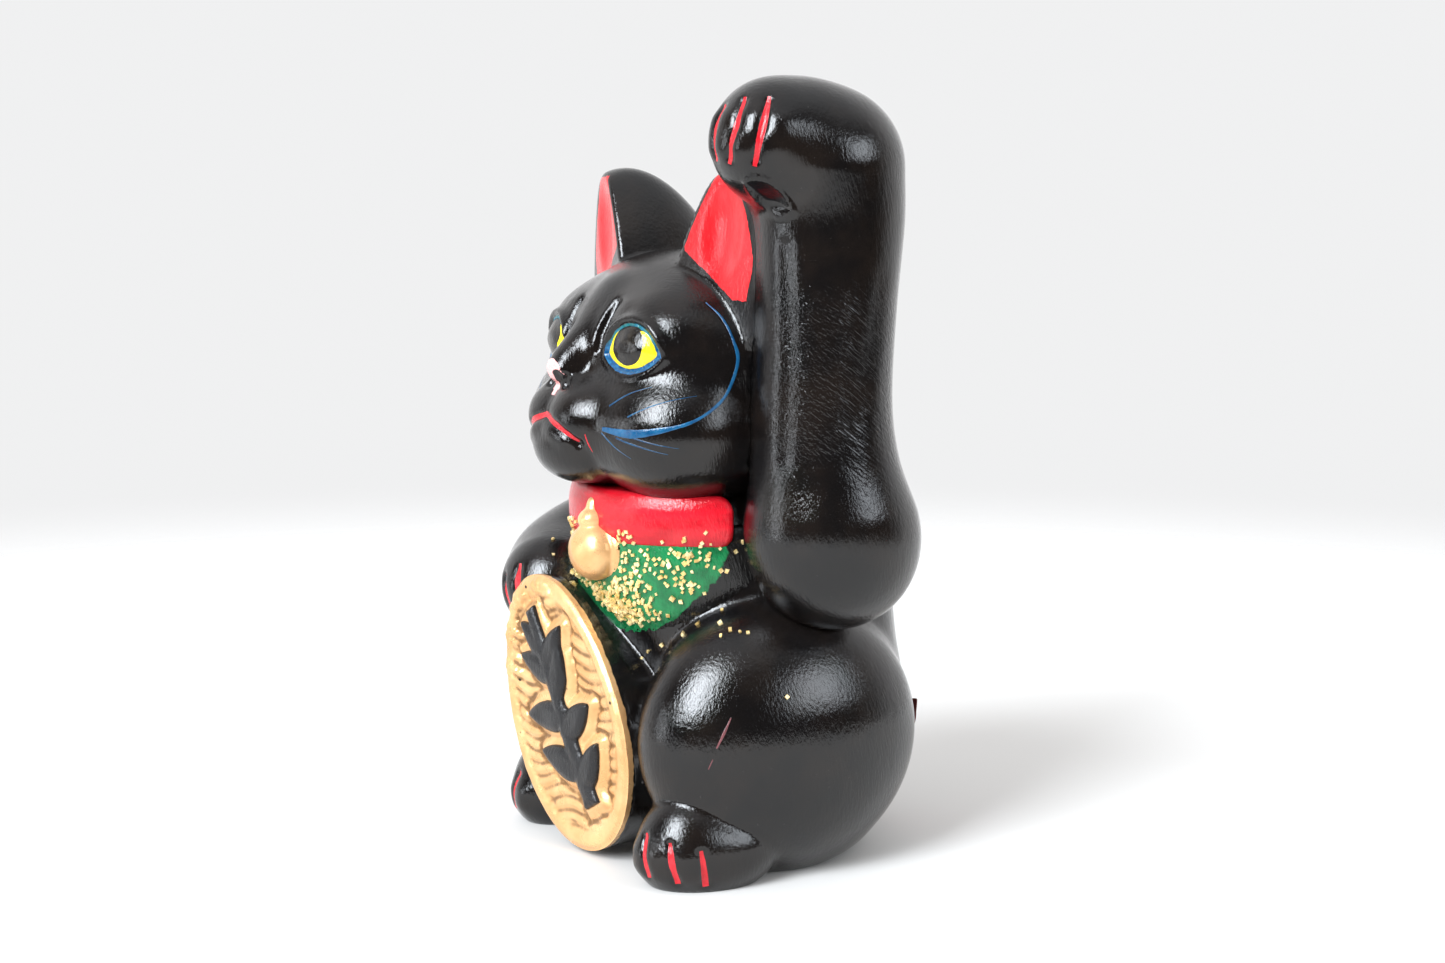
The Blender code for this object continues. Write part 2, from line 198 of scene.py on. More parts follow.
def smooth(value, low, high):
    t = np.clip((value - low) / (high - low), 0, 1)
    return t * t * (3 - 2 * t)


# ---------------------------------------------------------------- the cat's sections

FOOT_STROKES = [[(38.5, -45, 14), (40.5, -46, 5)], [(45.5, -41.5, 13), (46.8, -40.6, 4)],
                [(50.8, -35.5, 11), (50.2, -34, 3)]]
FOOT_TOES = [[(34.5, -46, 10), (35, -46, 6)], [(42.5, -44.5, 9), (43, -44, 5)],
             [(48.6, -39, 9), (48.6, -38.4, 5)]]
PAW_STROKES = [[(47.7, -27.6, 200.6), (47.5, -29.4, 195.5), (47.1, -29.0, 189.0)],
               [(54.7, -25.7, 202.1), (55.7, -27.9, 196.0), (53.5, -28.5, 188.5)],
               [(60.1, -21.7, 202.1), (61.4, -23.9, 196.0), (59.9, -25.0, 188.0)],
               [(41.4, -25.6, 200.5), (40.4, -27.4, 195.5), (40.8, -27.3, 189.0)]]
PAW_TOES = [[(51.4, -28.6, 198), (50.2, -30, 191)], [(58.2, -25.6, 198), (57, -27.6, 191)],
            [(44.2, -28.2, 198), (44, -29.2, 191)], [(63.8, -20, 197), (63.2, -21, 191)]]
HOLDING_STROKES = [[(-26.6, -50.6, 76.0), (-26.0, -51.6, 69.5)], [(-33.4, -50.6, 72.6), (-31.6, -51.6, 65)],
                   [(-39.4, -47.6, 68.4), (-37.2, -48.6, 60.6)]]
FOLD_PLACE, FOLD_TURN = (58.6, -20.6, 178.8), (-22, 22, 33)
SPINE = [(0, 33, 100), (0, 44, 78), (0, 49, 50)]

# Long soft dents down the raised arm: line, depth, width.
ARM_DENTS = [([(66, 6, 158), (67.5, 2, 132), (66, -3, 112)], 0.5, 3.2),
             ([(58, -15.5, 166), (59.5, -14.8, 140), (58.5, -15.6, 112)], 0.55, 2.4)]


def koban_distance(p):
    """In the koban's own frame: the distance to its side, and the point."""
    q = local(p, KOBAN_PLACE, KOBAN_TURN)
    a, b = KOBAN_RADII
    share = 1 - KOBAN_EGG * np.clip(q[..., 2] / b, -1.3, 1.3)
    return (np.sqrt((q[..., 0] / share / a) ** 2 + (q[..., 2] / b) ** 2) - 1) * a, q


def torso_field(p):
    d = reduce(lambda a, b: join(a, b, 12), (ellipsoid(p, *lump) for lump in TORSO))
    d = join(d, ellipsoid(p, *BASE), 8)
    q = mirror(p)
    d = join(d, ellipsoid(q, *HAUNCH), 4)
    foot = join(ellipsoid(q, *FOOT), ellipsoid(q, *TOES), 5)
    foot = press_all(foot, q, FOOT_TOES, -0.55, 2.4)
    foot = press_all(foot, q, FOOT_STROKES, 0.9, 1.25)
    d = join(d, foot, 1.8)
    side, k = koban_distance(p)
    side = side + 2.8 * smooth(k[..., 2], -4, 18)
    seat = cut(cut(side, 0.6 - k[..., 1], 0.8), k[..., 1] - 20, 1)
    d = join(d, seat, 1.6)
    return press(d, p, SPINE, 0.5, 5)


def ear_local(q):
    e = local(q, EAR_PLACE, EAR_TURN)
    e[..., 0] -= 0.1 * np.maximum(e[..., 2], 0)      # the ears lean outward
    return e


def ear_share(z):
    return np.clip(z / 41, -0.25, 1)


def ear_half_width(z):
    t = ear_share(z)
    return 18 * (1 - np.sign(t) * np.abs(t) ** 1.8 * 0.86)


def ear_field(q):
    """The ear at +X, as a tall egg with a flat front and a dish in it."""
    e = ear_local(q)
    t = ear_share(e[..., 2])
    w = ear_half_width(e[..., 2])
    b = 33 * (1 - np.sign(t) * np.abs(t) ** 2.7 * 0.66)
    below = np.minimum(e[..., 2] - 3, 0) / 15           # the lower end is rounded into the head
    egg = np.sqrt((e[..., 0] / w) ** 2 + (e[..., 1] / b) ** 2 + below ** 2 + 1e-9) - 1
    d = egg * np.minimum(w, b) * 0.8
    d = cut(d, e[..., 2] - 39 + 0.03 * (e[..., 1] - 9) ** 2, 8)
    d = cut(d, -e[..., 1], 2.0)
    return cut(d, -ellipsoid(e, (0, -10, 20), (13.5, 12, 23)), 1.2)


EYE_CENTRE = np.array((21.6, -38.6, 139.8), F)
EYE_OUT = np.array((0.36, -0.93, 0.06), F) / F(np.linalg.norm((0.36, -0.93, 0.06)))
EYE_ACROSS = np.array((0.93, 0.36, 0), F) / F(np.linalg.norm((0.93, 0.36)))
EYE_UP = np.cross(EYE_ACROSS, EYE_OUT) * F(-1)
EYE_ARCS = ((-2.97, 8.57), (6.0, 11.6))  # the upper and the lower edge of the eye: centre height, radius
PUPIL_CENTRE, PUPIL_RADII = (-0.35, 0.6), (5.6, 5.4)

BROW = [(10.6, -38.0, 150.8), (10.2, -39.8, 147.2), (9.6, -42.1, 142.7), (9.8, -43.0, 138.8)]
MOUTH = [(0, -52.8, 121.0), (3.6, -54.4, 120.4), (7.6, -54.4, 118.9), (10.6, -52.6, 116.9),
         (12.4, -50.4, 115.0)]
LIP = [(0, -53.6, 117.6), (4.6, -54.6, 116.8), (8.6, -53.2, 114.8)]
JAW = [(13.2, -50.4, 113.6), (14.2, -47.8, 109.6), (12.8, -44.2, 105.6), (9.4, -40.4, 102.4)]
NOSE = ((0, -50.0, 133.3), (4.6, 3.2, 3.4))
NOSTRIL = [(2.9, -52.6, 131.6), (4.2, -51.2, 130.2), (4.6, -50.3, 129.0)]

# Grooves in the face, and ridges where the depth is negative: line, depth, width.
FACE_LINES = [
    (BROW, 1.9, 1.35),
    ([(8.2, -42.2, 149), (8.4, -45, 140)], -0.45, 2.2),
    ([(15.6, -37.5, 149.5), (15.2, -40.6, 144.5)], -0.5, 2.2),
    ([(0, -41, 158), (0, -46.5, 148)], 0.7, 3.0),
    ([(0, -54, 128.5), (0, -55.5, 122)], 1.1, 0.95),
    (MOUTH, 0.95, 1.35), (LIP, -0.8, 1.7), (JAW, 0.55, 2.2), (NOSTRIL, 1.5, 0.95),
    ([(6.2, -49.0, 131.5), (6.6, -49.3, 128.5)], -0.5, 1.3),
]
SLOT_PLACE, SLOT_HALF, SLOT_ROUND = (0, 20, 140), (15.2, 10.2, 0.7), 1.8


def eye_coordinates(q):
    """Across, up and out of the eye at +X, and the distance to its almond outline."""
    e = q - EYE_CENTRE
    a, b, c = e @ EYE_ACROSS, e @ EYE_UP, e @ EYE_OUT
    almond = np.maximum(*[np.hypot(a, b - centre) - radius for centre, radius in EYE_ARCS])
    return a, b, c, almond


def eye_side(p):
    """The point mirrored to +X for the eyes: the other eye is painted a little nearer the nose."""
    q = mirror(p)
    q[..., 0] += 1.7 * (p[..., 0] < 0)
    return q


def head_field(p):
    q = mirror(p)
    d = ellipsoid(p, *SKULL)
    for at, lump, soft in ((q, CHEEK, 10), (q, JOWL, 10), (q, EYE_SWELL, 9), (p, SNOUT, 8), (p, CHIN, 9)):
        d = join(d, ellipsoid(at, *lump), soft)
    d = join(d, capsule(p, *BRIDGE), 6.5)
    pads = join(ellipsoid(p, *MUZZLE), ellipsoid(p * np.array((-1, 1, 1), F), *MUZZLE), 2)
    d = join(d, pads, 7)
    d = join(d, ellipsoid(p, *NOSE), 2.0)
    face = (q[..., 1] < -22) & (q[..., 2] < 164) & (q[..., 2] > 96) & (np.abs(d) < 7)
    if face.any():
        f, e = d[face], q[face]
        _, b, c, almond = eye_coordinates(eye_side(p[face]))
        upper = smooth(b, -2.5, 2.5)
        here = smooth(np.abs(c), 9, 5) * smooth(almond, 9, 6)
        ball = 1.0 * smooth(-almond, 0, 4.5)
        lid = (0.45 + 0.65 * upper) * np.exp(-((almond - 2.2) / 1.1) ** 2)
        rim = -0.6 * np.exp(-((almond - 0.35) / 0.5) ** 2)
        f = f - here * (ball + lid + rim)
        for line, depth, width in FACE_LINES:
            f = press(f, e, line, depth, width)
        d[face] = f
    d = join(d, ear_field(q), 1.4 + 4 * smooth(p[..., 1], -14, 2))
    slot = np.abs(local(p, SLOT_PLACE)) - np.array(SLOT_HALF, F)
    slot = np.sqrt((np.maximum(slot, 0) ** 2).sum(-1)) + np.minimum(slot.max(-1), 0) - SLOT_ROUND
    return cut(d, -slot, 1.6)


def raised_field(p):
    d = join(column(p, RAISED_ARM), ellipsoid(p, *ELBOW), 16)
    d = join(d, ellipsoid(p, *PAW_TOP), 6)
    paw = press_all(ellipsoid(p, *PAW), p, PAW_TOES, -0.6, 2.6)
    paw = press_all(paw, p, PAW_STROKES, 0.85, 1.3)
    d = join(d, paw, 5)
    q = local(p, FOLD_PLACE, FOLD_TURN)
    leaf = np.maximum(np.hypot(q[..., 0], q[..., 2] - 5.6), np.hypot(q[..., 0], q[..., 2] + 5.6)) - 8.1
    here = smooth(np.abs(q[..., 1]), 7, 4)
    d = d - here * (0.75 * np.exp(-((leaf - 0.2) / 0.65) ** 2) - 0.8 * smooth(-leaf, 0.3, 2.2))
    for line, depth, width in ARM_DENTS:
        d = press(d, p, line, depth, width)
    return d


def holding_field(p):
    return press_all(limb(p, HOLDING_ARM), p, HOLDING_STROKES, 1.1, 1.3)


def tail_field(p):
    return limb(p, TAIL)


SECTIONS = {
    "torso": only_in((-80, -68, -14), (80, 68, 130), torso_field),
    "head": only_in((-60, -68, 84), (60, 36, 204), head_field),
    "raised_arm": only_in((16, -48, 50), (86, 46, 226), raised_field),
    "holding_arm": only_in((-78, -68, 38), (-6, 40, 116), holding_field),
    "tail": only_in((-42, 22, -10), (14, 66, 56), tail_field),
}
SEAM = {"head": 1.2, "raised_arm": 1.6, "holding_arm": 3.0, "tail": 2.0}


def sections_at(p):
    return {name: field(p) for name, field in SECTIONS.items()}


def skin_of(parts):
    """The one glazed skin over all the sections, from each section's distance."""
    d = parts["torso"]
    for name, k in SEAM.items():
        d = join(d, parts[name], k)
    return d


def skin_field(p):
    return skin_of(sections_at(p))


def section_fields(name, *more):
    """Fields whose common inside is one section of the casting, with a hairline to its neighbours."""
    def fields(p):
        parts = sections_at(p)
        others = np.min([v for n, v in parts.items() if n != name], axis=0)
        return [skin_of(parts), (parts[name] - others) / 2 + 0.03] + [extra(p) for extra in more]
    return fields


# ---------------------------------------------------------------- from fields to meshes

BLOCK = 4                               # cells along a block of the rough grid
CORNERS = np.array([(i, j, k) for i in (0, 1) for j in (0, 1) for k in (0, 1)])
EDGES = [(a, b) for a in range(8) for b in range(a + 1, 8) if np.abs(CORNERS[a] - CORNERS[b]).sum() == 1]


def evaluate(fields, points, chunk=150000):
    values = [np.array(fields(points[i:i + chunk]), F) for i in range(0, len(points), chunk)]
    return np.concatenate(values, axis=1)


def settle(fields, points, active, cell, rounds=3):
    """Moves each point onto the surfaces of the fields that it is marked for."""
    start = points.copy()
    count = active.shape[1]
    for _ in range(rounds):
        value = evaluate(fields, points).T
        step = F(0.03)
        slope = np.empty((len(points), count, 3), F)
        for axis in range(3):
            moved = points.copy()
            moved[:, axis] += step
            slope[:, :, axis] = (evaluate(fields, moved).T - value) / step
        slope *= active[:, :, None]
        value = value * active
        square = np.einsum("nik,njk->nij", slope, slope)
        square += np.eye(count, dtype=F) * (1e-3 + (1 - active)[:, None, :])
        push = np.linalg.solve(square.astype(float), value[..., None].astype(float))[..., 0]
        move = -np.einsum("ni,nik->nk", push, slope)
        length = np.linalg.norm(move, axis=1, keepdims=True)
        points = (points + move * np.minimum(1, 0.6 * cell / (length + 1e-9))).astype(F)
        drift = points - start
        far = np.linalg.norm(drift, axis=1, keepdims=True)
        points = (start + drift * np.minimum(1, 1.2 * cell / (far + 1e-9))).astype(F)
    return points


def neighbour_mean(points, quads):
    total = np.zeros_like(points)
    count = np.zeros(len(points), F)
    for a in range(4):
        for b in (quads[:, (a + 1) % 4], quads[:, (a - 1) % 4]):
            np.add.at(total, quads[:, a], points[b])
            np.add.at(count, quads[:, a], 1)
    return total / np.maximum(count, 1)[:, None]


def near_surface(fields, low, blocks, cell):
    """The largest field on a rough grid, and which blocks of cells the surface can run through."""
    rough = np.stack(np.meshgrid(*[low[i] + cell * BLOCK * np.arange(blocks[i] + 1) for i in range(3)],
                                 indexing="ij"), -1).astype(F)
    worst = evaluate(fields, rough.reshape(-1, 3)).max(0).reshape(rough.shape[:3])
    close = np.abs(worst) < 1.45 * BLOCK * cell
    busy = np.zeros(blocks, bool)
    for i, j, k in CORNERS:
        busy |= close[i:i + blocks[0], j:j + blocks[1], k:k + blocks[2]]
    return worst, busy


def crossings(values):
    """In each cell, the mean place where its edges cross the surface, and the fields that they cross."""
    top = values.max(-1)
    spot = np.zeros((len(values), 3), F)
    hits = np.zeros(len(values), F)
    kinds = np.zeros((len(values), values.shape[-1]), F)
    for a, b in EDGES:
        crossed = (top[:, a] < 0) != (top[:, b] < 0)
        t = np.where(crossed, top[:, a] / np.where(crossed, top[:, a] - top[:, b], 1), 0)[:, None]
        spot += crossed[:, None] * (CORNERS[a] + t * (CORNERS[b] - CORNERS[a]))
        hits += crossed
        at = values[:, a] + t * (values[:, b] - values[:, a])
        kinds[np.arange(len(values)), at.argmax(-1)] += crossed
    return spot / hits[:, None], (kinds > 0).astype(F)


def connect(inside, active):
    """One quad, facing outward, round each edge of the grid that the surface crosses."""
    size = np.array(inside.shape)
    number = np.full(size - 1, -1, np.int32)
    number[tuple(active.T)] = np.arange(len(active))
    quads = []
    for axis in range(3):
        u, v = (axis + 1) % 3, (axis + 2) % 3
        here = [slice(None)] * 3
        after = [slice(None)] * 3
        here[axis], after[axis] = slice(0, -1), slice(1, None)
        first, second = inside[tuple(here)], inside[tuple(after)]
        at = np.stack(np.nonzero(first != second), -1)
        at = at[(at[:, u] > 0) & (at[:, v] > 0) & (at[:, u] < size[u] - 1) & (at[:, v] < size[v] - 1)]
        step_u, step_v = np.eye(3, dtype=int)[u], np.eye(3, dtype=int)[v]
        ring = [number[tuple((at + shift).T)] for shift in (-step_u - step_v, -step_v, 0 * step_u, -step_u)]
        quad = np.stack(ring, -1)
        outward = first[tuple(at.T)]
        quad[~outward] = quad[~outward][:, ::-1]
        quads.append(quad[(quad >= 0).all(1)])
    return np.concatenate(quads)


def surface(fields, low, high, cell):
    """Vertices and quads of the surface of the region in which all the fields are negative."""
    cell = cell * COARSE
    low, high = np.array(low, float), np.array(high, float)
    blocks = np.ceil((high - low) / (cell * BLOCK)).astype(int)
    size = blocks * BLOCK + 1
    worst, busy = near_surface(fields, low, blocks, cell)
    cells = busy.repeat(BLOCK, 0).repeat(BLOCK, 1).repeat(BLOCK, 2)
    used = np.zeros(size, bool)
    for i, j, k in CORNERS:
        used[i:i + size[0] - 1, j:j + size[1] - 1, k:k + size[2] - 1] |= cells
    index = np.nonzero(used)
    points = (low + cell * np.stack(index, -1)).astype(F)
    found = evaluate(fields, points)
    nearest = [np.minimum((np.arange(size[i]) + BLOCK // 2) // BLOCK, blocks[i]) for i in range(3)]
    total = worst[np.ix_(*nearest)].astype(F)
    total[index] = found.max(0)
    where = np.full(size, -1, np.int32)
    where[index] = np.arange(len(points))

    inside = total < 0
    corners_in = np.zeros(size - 1, np.uint8)
    for i, j, k in CORNERS:
        corners_in += inside[i:i + size[0] - 1, j:j + size[1] - 1, k:k + size[2] - 1]
    active = np.stack(np.nonzero((corners_in > 0) & (corners_in < 8) & cells), -1)
    rows = where[tuple((active[:, None, :] + CORNERS[None]).reshape(-1, 3).T)].reshape(-1, 8)
    spot, kinds = crossings(found.T[rows])
    verts = (low + cell * (active + spot)).astype(F)
    quads = connect(inside, active)

    single = (kinds.sum(1) == 1)[:, None]
    for _ in range(2):
        verts = np.where(single, 0.5 * verts + 0.5 * neighbour_mean(verts, quads), verts).astype(F)
    return settle(fields, verts, kinds, cell), quads


def shape(name, verts, faces, flat_angle=None):
    """A shaded object of the mesh, moved from the cat's frame to the part's."""
    mesh = bpy.data.meshes.new(name)
    placed = (np.asarray(verts, float) + SHIFT) * 0.001
    mesh.from_pydata(placed.tolist(), [], [list(map(int, f)) for f in faces])
    mesh.validate()
    obj = bpy.data.objects.new(name, mesh)
    bpy.context.scene.collection.objects.link(obj)
    mesh.shade_smooth()
    if flat_angle:
        mesh.set_sharp_from_angle(angle=radians(flat_angle))
    return obj


def refine(verts, quads, fields, cell, wanted):
    """Splits the quads whose centre is wanted into four and settles the new points on the skin."""
    bm = bmesh.new()
    made = [bm.verts.new(v) for v in verts.tolist()]
    for q in quads.tolist():
        bm.faces.new([made[i] for i in q])
    centres = verts[quads].mean(1)
    bm.faces.ensure_lookup_table()
    edges = {e for i in np.nonzero(wanted(centres))[0] for e in bm.faces[int(i)].edges}
    bmesh.ops.subdivide_edges(bm, edges=list(edges), cuts=1, use_grid_fill=True)
    bm.verts.ensure_lookup_table()
    bm.verts.index_update()
    all_verts = np.array([v.co[:] for v in bm.verts], F)
    faces = [[v.index for v in f.verts] for f in bm.faces]
    bm.free()
    new = np.arange(len(verts), len(all_verts))
    soft = new[wanted(all_verts[new])]

    def skin(p):
        return [fields(p)[0]]
    all_verts[soft] = settle(skin, all_verts[soft], np.ones((len(soft), 1), F), cell / 2, 2)
    return all_verts, faces


def face_outward(obj):
    """Turns the faces of a closed mesh outward."""
    bm = bmesh.new()
    bm.from_mesh(obj.data)
    bmesh.ops.recalc_face_normals(bm, faces=bm.faces)
    bm.to_mesh(obj.data)
    bm.free()


def mark(obj, **values):
    """Numbers for the materials, one for each vertex."""
    for name, numbers in values.items():
        layer = obj.data.attributes.new(name, "FLOAT", "POINT")
        layer.data.foreach_set("value", np.asarray(numbers, np.float32))


def slope_of(field, p, step=0.05):
    g = np.stack([field(p + step * np.eye(3, dtype=F)[i]) - field(p - step * np.eye(3, dtype=F)[i])
                  for i in range(3)], -1)
    return g / (np.linalg.norm(g, axis=-1, keepdims=True) + 1e-9)


def drop_onto(field, p, rounds=6):
    """The nearest points of the field's surface, and its normals there."""
    p = np.array(p, F)
    for _ in range(rounds):
        n = slope_of(field, p)
        p = (p - field(p)[..., None] * n).astype(F)
    return p, slope_of(field, p)


def below_floor(p):
    return -p[..., 2]


def stopper_room(p):
    """Positive in the room for the stopper in the base."""
    q = p - np.array((*STOPPER_AT, 0), F)
    r = np.hypot(q[..., 0], q[..., 1])
    recess = np.maximum(r - RECESS_RADIUS, q[..., 2] - RECESS_DEPTH)
    hole = np.maximum(r - HOLE_RADIUS, q[..., 2] - 14.5)
    return -np.minimum(recess, hole)


BOXES = {
    "torso": ((-72, -56, -3), (64, 58, 118)), "head": ((-54, -64, 94), (54, 30, 196)),
    "raised_arm": ((22, -38, 58), (78, 38, 214)), "holding_arm": ((-70, -58, 50), (-12, 32, 108)),
    "tail": ((-32, 28, 0), (8, 60, 48)),
}
CELLS = {"torso": 1.15, "head": 0.95, "raised_arm": 1.05, "holding_arm": 0.95, "tail": 0.8}
PIECES = {}


def near_lines(lines, reach):
    def wanted(p):
        return np.min([line_distance(p, np.array(line, F)) for line in lines], axis=0) < reach
    return wanted


def face_zone(p):
    q = mirror(p)
    _, _, c, almond = eye_coordinates(q)
    eye = (almond < 3.6) & (np.abs(c) < 9)
    nose = [[(0, -51.5, 134), (0, -55, 120)], [(4.5, -51, 131), (4.5, -50.5, 128)]]
    lines = near_lines([BROW, MOUTH, LIP] + nose, 3.2)
    return eye | lines(q.astype(F))


DETAIL = {
    "head": face_zone,
    "raised_arm": near_lines(PAW_STROKES + [[(54, -26, 181), (62.5, -16, 176.5)]], 3.4),
    "torso": lambda p: near_lines(FOOT_STROKES, 2.8)(mirror(p)),
    "holding_arm": near_lines(HOLDING_STROKES, 2.8),
}


def build_sections():
    for name, (low, high) in BOXES.items():
        more = [below_floor, stopper_room] if name == "torso" else []
        fields = section_fields(name, *more)
        verts, faces = surface(fields, low, high, CELLS[name])
        if name in DETAIL:
            verts, faces = refine(verts, faces, fields, CELLS[name] * COARSE, DETAIL[name])
        obj = shape(name + "_glazed", verts, faces, 50)
        PIECES[name] = (obj, verts)
        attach(obj, "figure")
        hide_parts(name)


# ---------------------------------------------------------------- collar, bib, bell

def proud_of_skin(p):
    """Negative outside the casting's skin, with a hairline to it."""
    return 0.04 - skin_field(p)


def collar_outer(p):
    q = local(p, COLLAR_PLACE)
    a, b = COLLAR_RADII
    out = (np.hypot(q[..., 0] / a, q[..., 1] / b) - 1) * b
    along = np.arctan2(np.abs(q[..., 0]) / a, -q[..., 1] / b) * 36 - 42.5
    up = np.abs(q[..., 2] + 0.02 * q[..., 0]) - 2.7
    end = np.hypot(np.maximum(along, 0), np.maximum(up, 0)) + np.minimum(np.maximum(along, up), 0) - 4.6
    return cut(out + 0.10 * np.maximum(np.abs(q[..., 2]) - 2, 0) ** 1.5, end, 2.4)


def collar_fields(p):
    return [collar_outer(p), proud_of_skin(p)]


def bib_outline(p, rx, rz, z):
    return (np.hypot((p[..., 0] - 1.5) / rx, (p[..., 2] - z) / rz) - 1) * rz


def bib_outer(p):
    d = ellipsoid(p, *BIB)
    d = cut(cut(d, bib_outline(p, 36.5, 30.0, 86.4), 1.6), p[..., 1] + 8.6, 1)
    return cut(d, p[..., 2] - 92.5, 1)


def bib_fields(p):
    side, k = koban_distance(p)
    koban = np.maximum(side, np.maximum(-2.6 - k[..., 1], k[..., 1] - 9 + 4.6 * smooth(k[..., 2], -4, 14)))
    return [bib_outer(p), proud_of_skin(p), 0.08 - collar_outer(p), 0.25 - koban]


BELL_PLACE, BELL_TURN = (3.8, -41.2, 84.2), (6, -3, 4)
BELL_CREASE = [(-5.5, -3.2, 6.6), (-1.5, -5.4, 7.4), (3.6, -4.4, 6.9)]
BELL_RIDGE = [(-1.5, -7.2, 3.5), (1.2, -7.4, -1.5), (3.8, -5.8, -4.6)]


def bell_outer(p):
    q = local(p, BELL_PLACE, BELL_TURN)
    rim = ellipsoid(q, (0.5, 1.6, -0.4), (9.8, 3.3, 9.0))
    dome = ellipsoid(q, (-0.3, -0.7, 0.0), (8.4, 6.4, 7.9))
    neck = ellipsoid(q, (0, 0.2, 8.6), (3.9, 4.4, 3.4))
    tip = ellipsoid(q, (0.2, 1.4, 11.8), (2.2, 2.8, 3.2))
    d = join(rim, dome, 0.8)
    d = join(d, neck, 1.0)
    d = join(d, tip, 1.6)
    d = press(d, q.astype(F), BELL_CREASE, 0.5, 0.8)
    return press(d, q.astype(F), BELL_RIDGE, -0.35, 1.8)


def bell_fields(p):
    return [bell_outer(p), 0.05 - bib_outer(p), 0.05 - collar_outer(p), proud_of_skin(p)]


def sprig(name, fields, low, high, cell):
    """A moulded piece that is luted on the casting."""
    verts, quads = surface(fields, low, high, cell)
    obj = shape(name, verts, quads, 42)
    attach(obj, "figure")
    return obj, verts


def build_neckwear():
    collar, _ = sprig("collar_enamel", collar_fields, (-42, -46, 82), (42, 4, 104), 0.8)
    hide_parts("collar")
    collar.data.materials.append(red_enamel())
    bib, verts = sprig("bib_enamel", bib_fields, (-40, -46, 54), (42, -4, 104), 0.72)
    inside = bib_outline(verts, 33.0, 26.4, 86.6)
    left = smooth(verts[:, 0], -24, -30)
    mark(bib, green=inside - 2.4 * left, front=ellipsoid(verts, *BIB))
    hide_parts("bib")
    bib.data.materials.append(green_enamel())
    bell, _ = sprig("bell_gold", bell_fields, (-12, -52, 70), (13, -32, 103), 0.5)
    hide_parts("bell")
    bell.data.materials.append(gold_paint("bell"))


# ---------------------------------------------------------------- koban and its bamboo motif

STEM_ROOT, STEM_ANGLE, STEM_LENGTH, STEM_BEND = (5, -27), 99, 57, -3.5
# Leaves: share of the stem's length, angle, length, width, bend.
LEAVES = [(0.12, 30, 16, 6.6, 2.5), (0.18, 158, 20, 7.4, -2.5), (0.38, 12, 16, 6.8, 2),
          (0.45, 176, 19, 7.4, -3), (0.56, 52, 18, 6.2, 2), (0.66, 152, 17, 6.4, -2),
          (0.72, 28, 16, 6.2, 2), (0.78, 134, 15, 5.6, -1.5)]
NODES = (0.22, 0.47, 0.70)               # the joints of the bamboo stem, as shares of its length
FACE = -2.0                              # the koban's front, along its own Y
FANS = ((-7.5, 31.0, 6.5), (-14.0, 24.5, 5.6), (5.0, 31.5, 6.5), (-18.5, 16.5, 4.6))    # x, z, radius


def spine_point(length, bend, t):
    return np.array((length * t, bend * sin(pi * t / 2) * t))


def turned_by(angle, point):
    a = radians(angle)
    return np.array((cos(a) * point[0] - sin(a) * point[1], sin(a) * point[0] + cos(a) * point[1]))


def along_stroke(x, z, root, angle, length, bend):
    """Along and across a bent stroke in the koban's plane, and the share of its length."""
    a = radians(angle)
    u = cos(a) * (x - root[0]) + sin(a) * (z - root[1])
    v = -sin(a) * (x - root[0]) + cos(a) * (z - root[1])
    t = np.clip(u / length, 0, 1)
    return u, v - bend * np.sin(pi * t / 2) * t, t


def stroke_distance(x, z, root, angle, length, width, bend):
    """Distance in the koban's plane to a brush stroke that is pointed at both ends."""
    u, v, t = along_stroke(x, z, root, angle, length, bend)
    half = 1.22 * width / 2 * np.sin(pi * np.clip(t, 0.02, 0.98) ** 0.8) ** 0.75
    over = np.maximum(-u, u - length)
    return np.where(over > 0, np.hypot(np.maximum(over, 0), np.abs(v)) - 0.1, np.abs(v) - half)


def motif_distance(x, z):
    u, v, t = along_stroke(x, z, STEM_ROOT, STEM_ANGLE, STEM_LENGTH, STEM_BEND)
    half = 3.2 - 0.9 * t
    for node in NODES:
        off = (t - node) * STEM_LENGTH
        half = half + 0.75 * np.exp(-(off / 0.9) ** 2) - 0.3 * np.exp(-(off / 2.6) ** 2)
    d = np.maximum(np.abs(v) - half, np.maximum(-u, u - STEM_LENGTH))
    for share, angle, length, width, curl in LEAVES:
        root = np.array(STEM_ROOT) + turned_by(STEM_ANGLE, spine_point(STEM_LENGTH, STEM_BEND, share))
        root = root - turned_by(angle, (2.5, 0))
        d = join(d, stroke_distance(x, z, root, angle, length, width, curl), 1.2)
    return d


def wave(x, z, seed, scale):
    """Smooth noise from a few sines, about -1 to 1."""
    rng = np.random.default_rng(seed)
    total = np.zeros_like(x)
    for _ in range(6):
        a, s, shift = rng.uniform(0, tau), rng.uniform(0.7, 1.5) / scale, rng.uniform(0, tau)
        total += np.sin(s * (cos(a) * x + sin(a) * z) * tau + shift)
    return total / 3


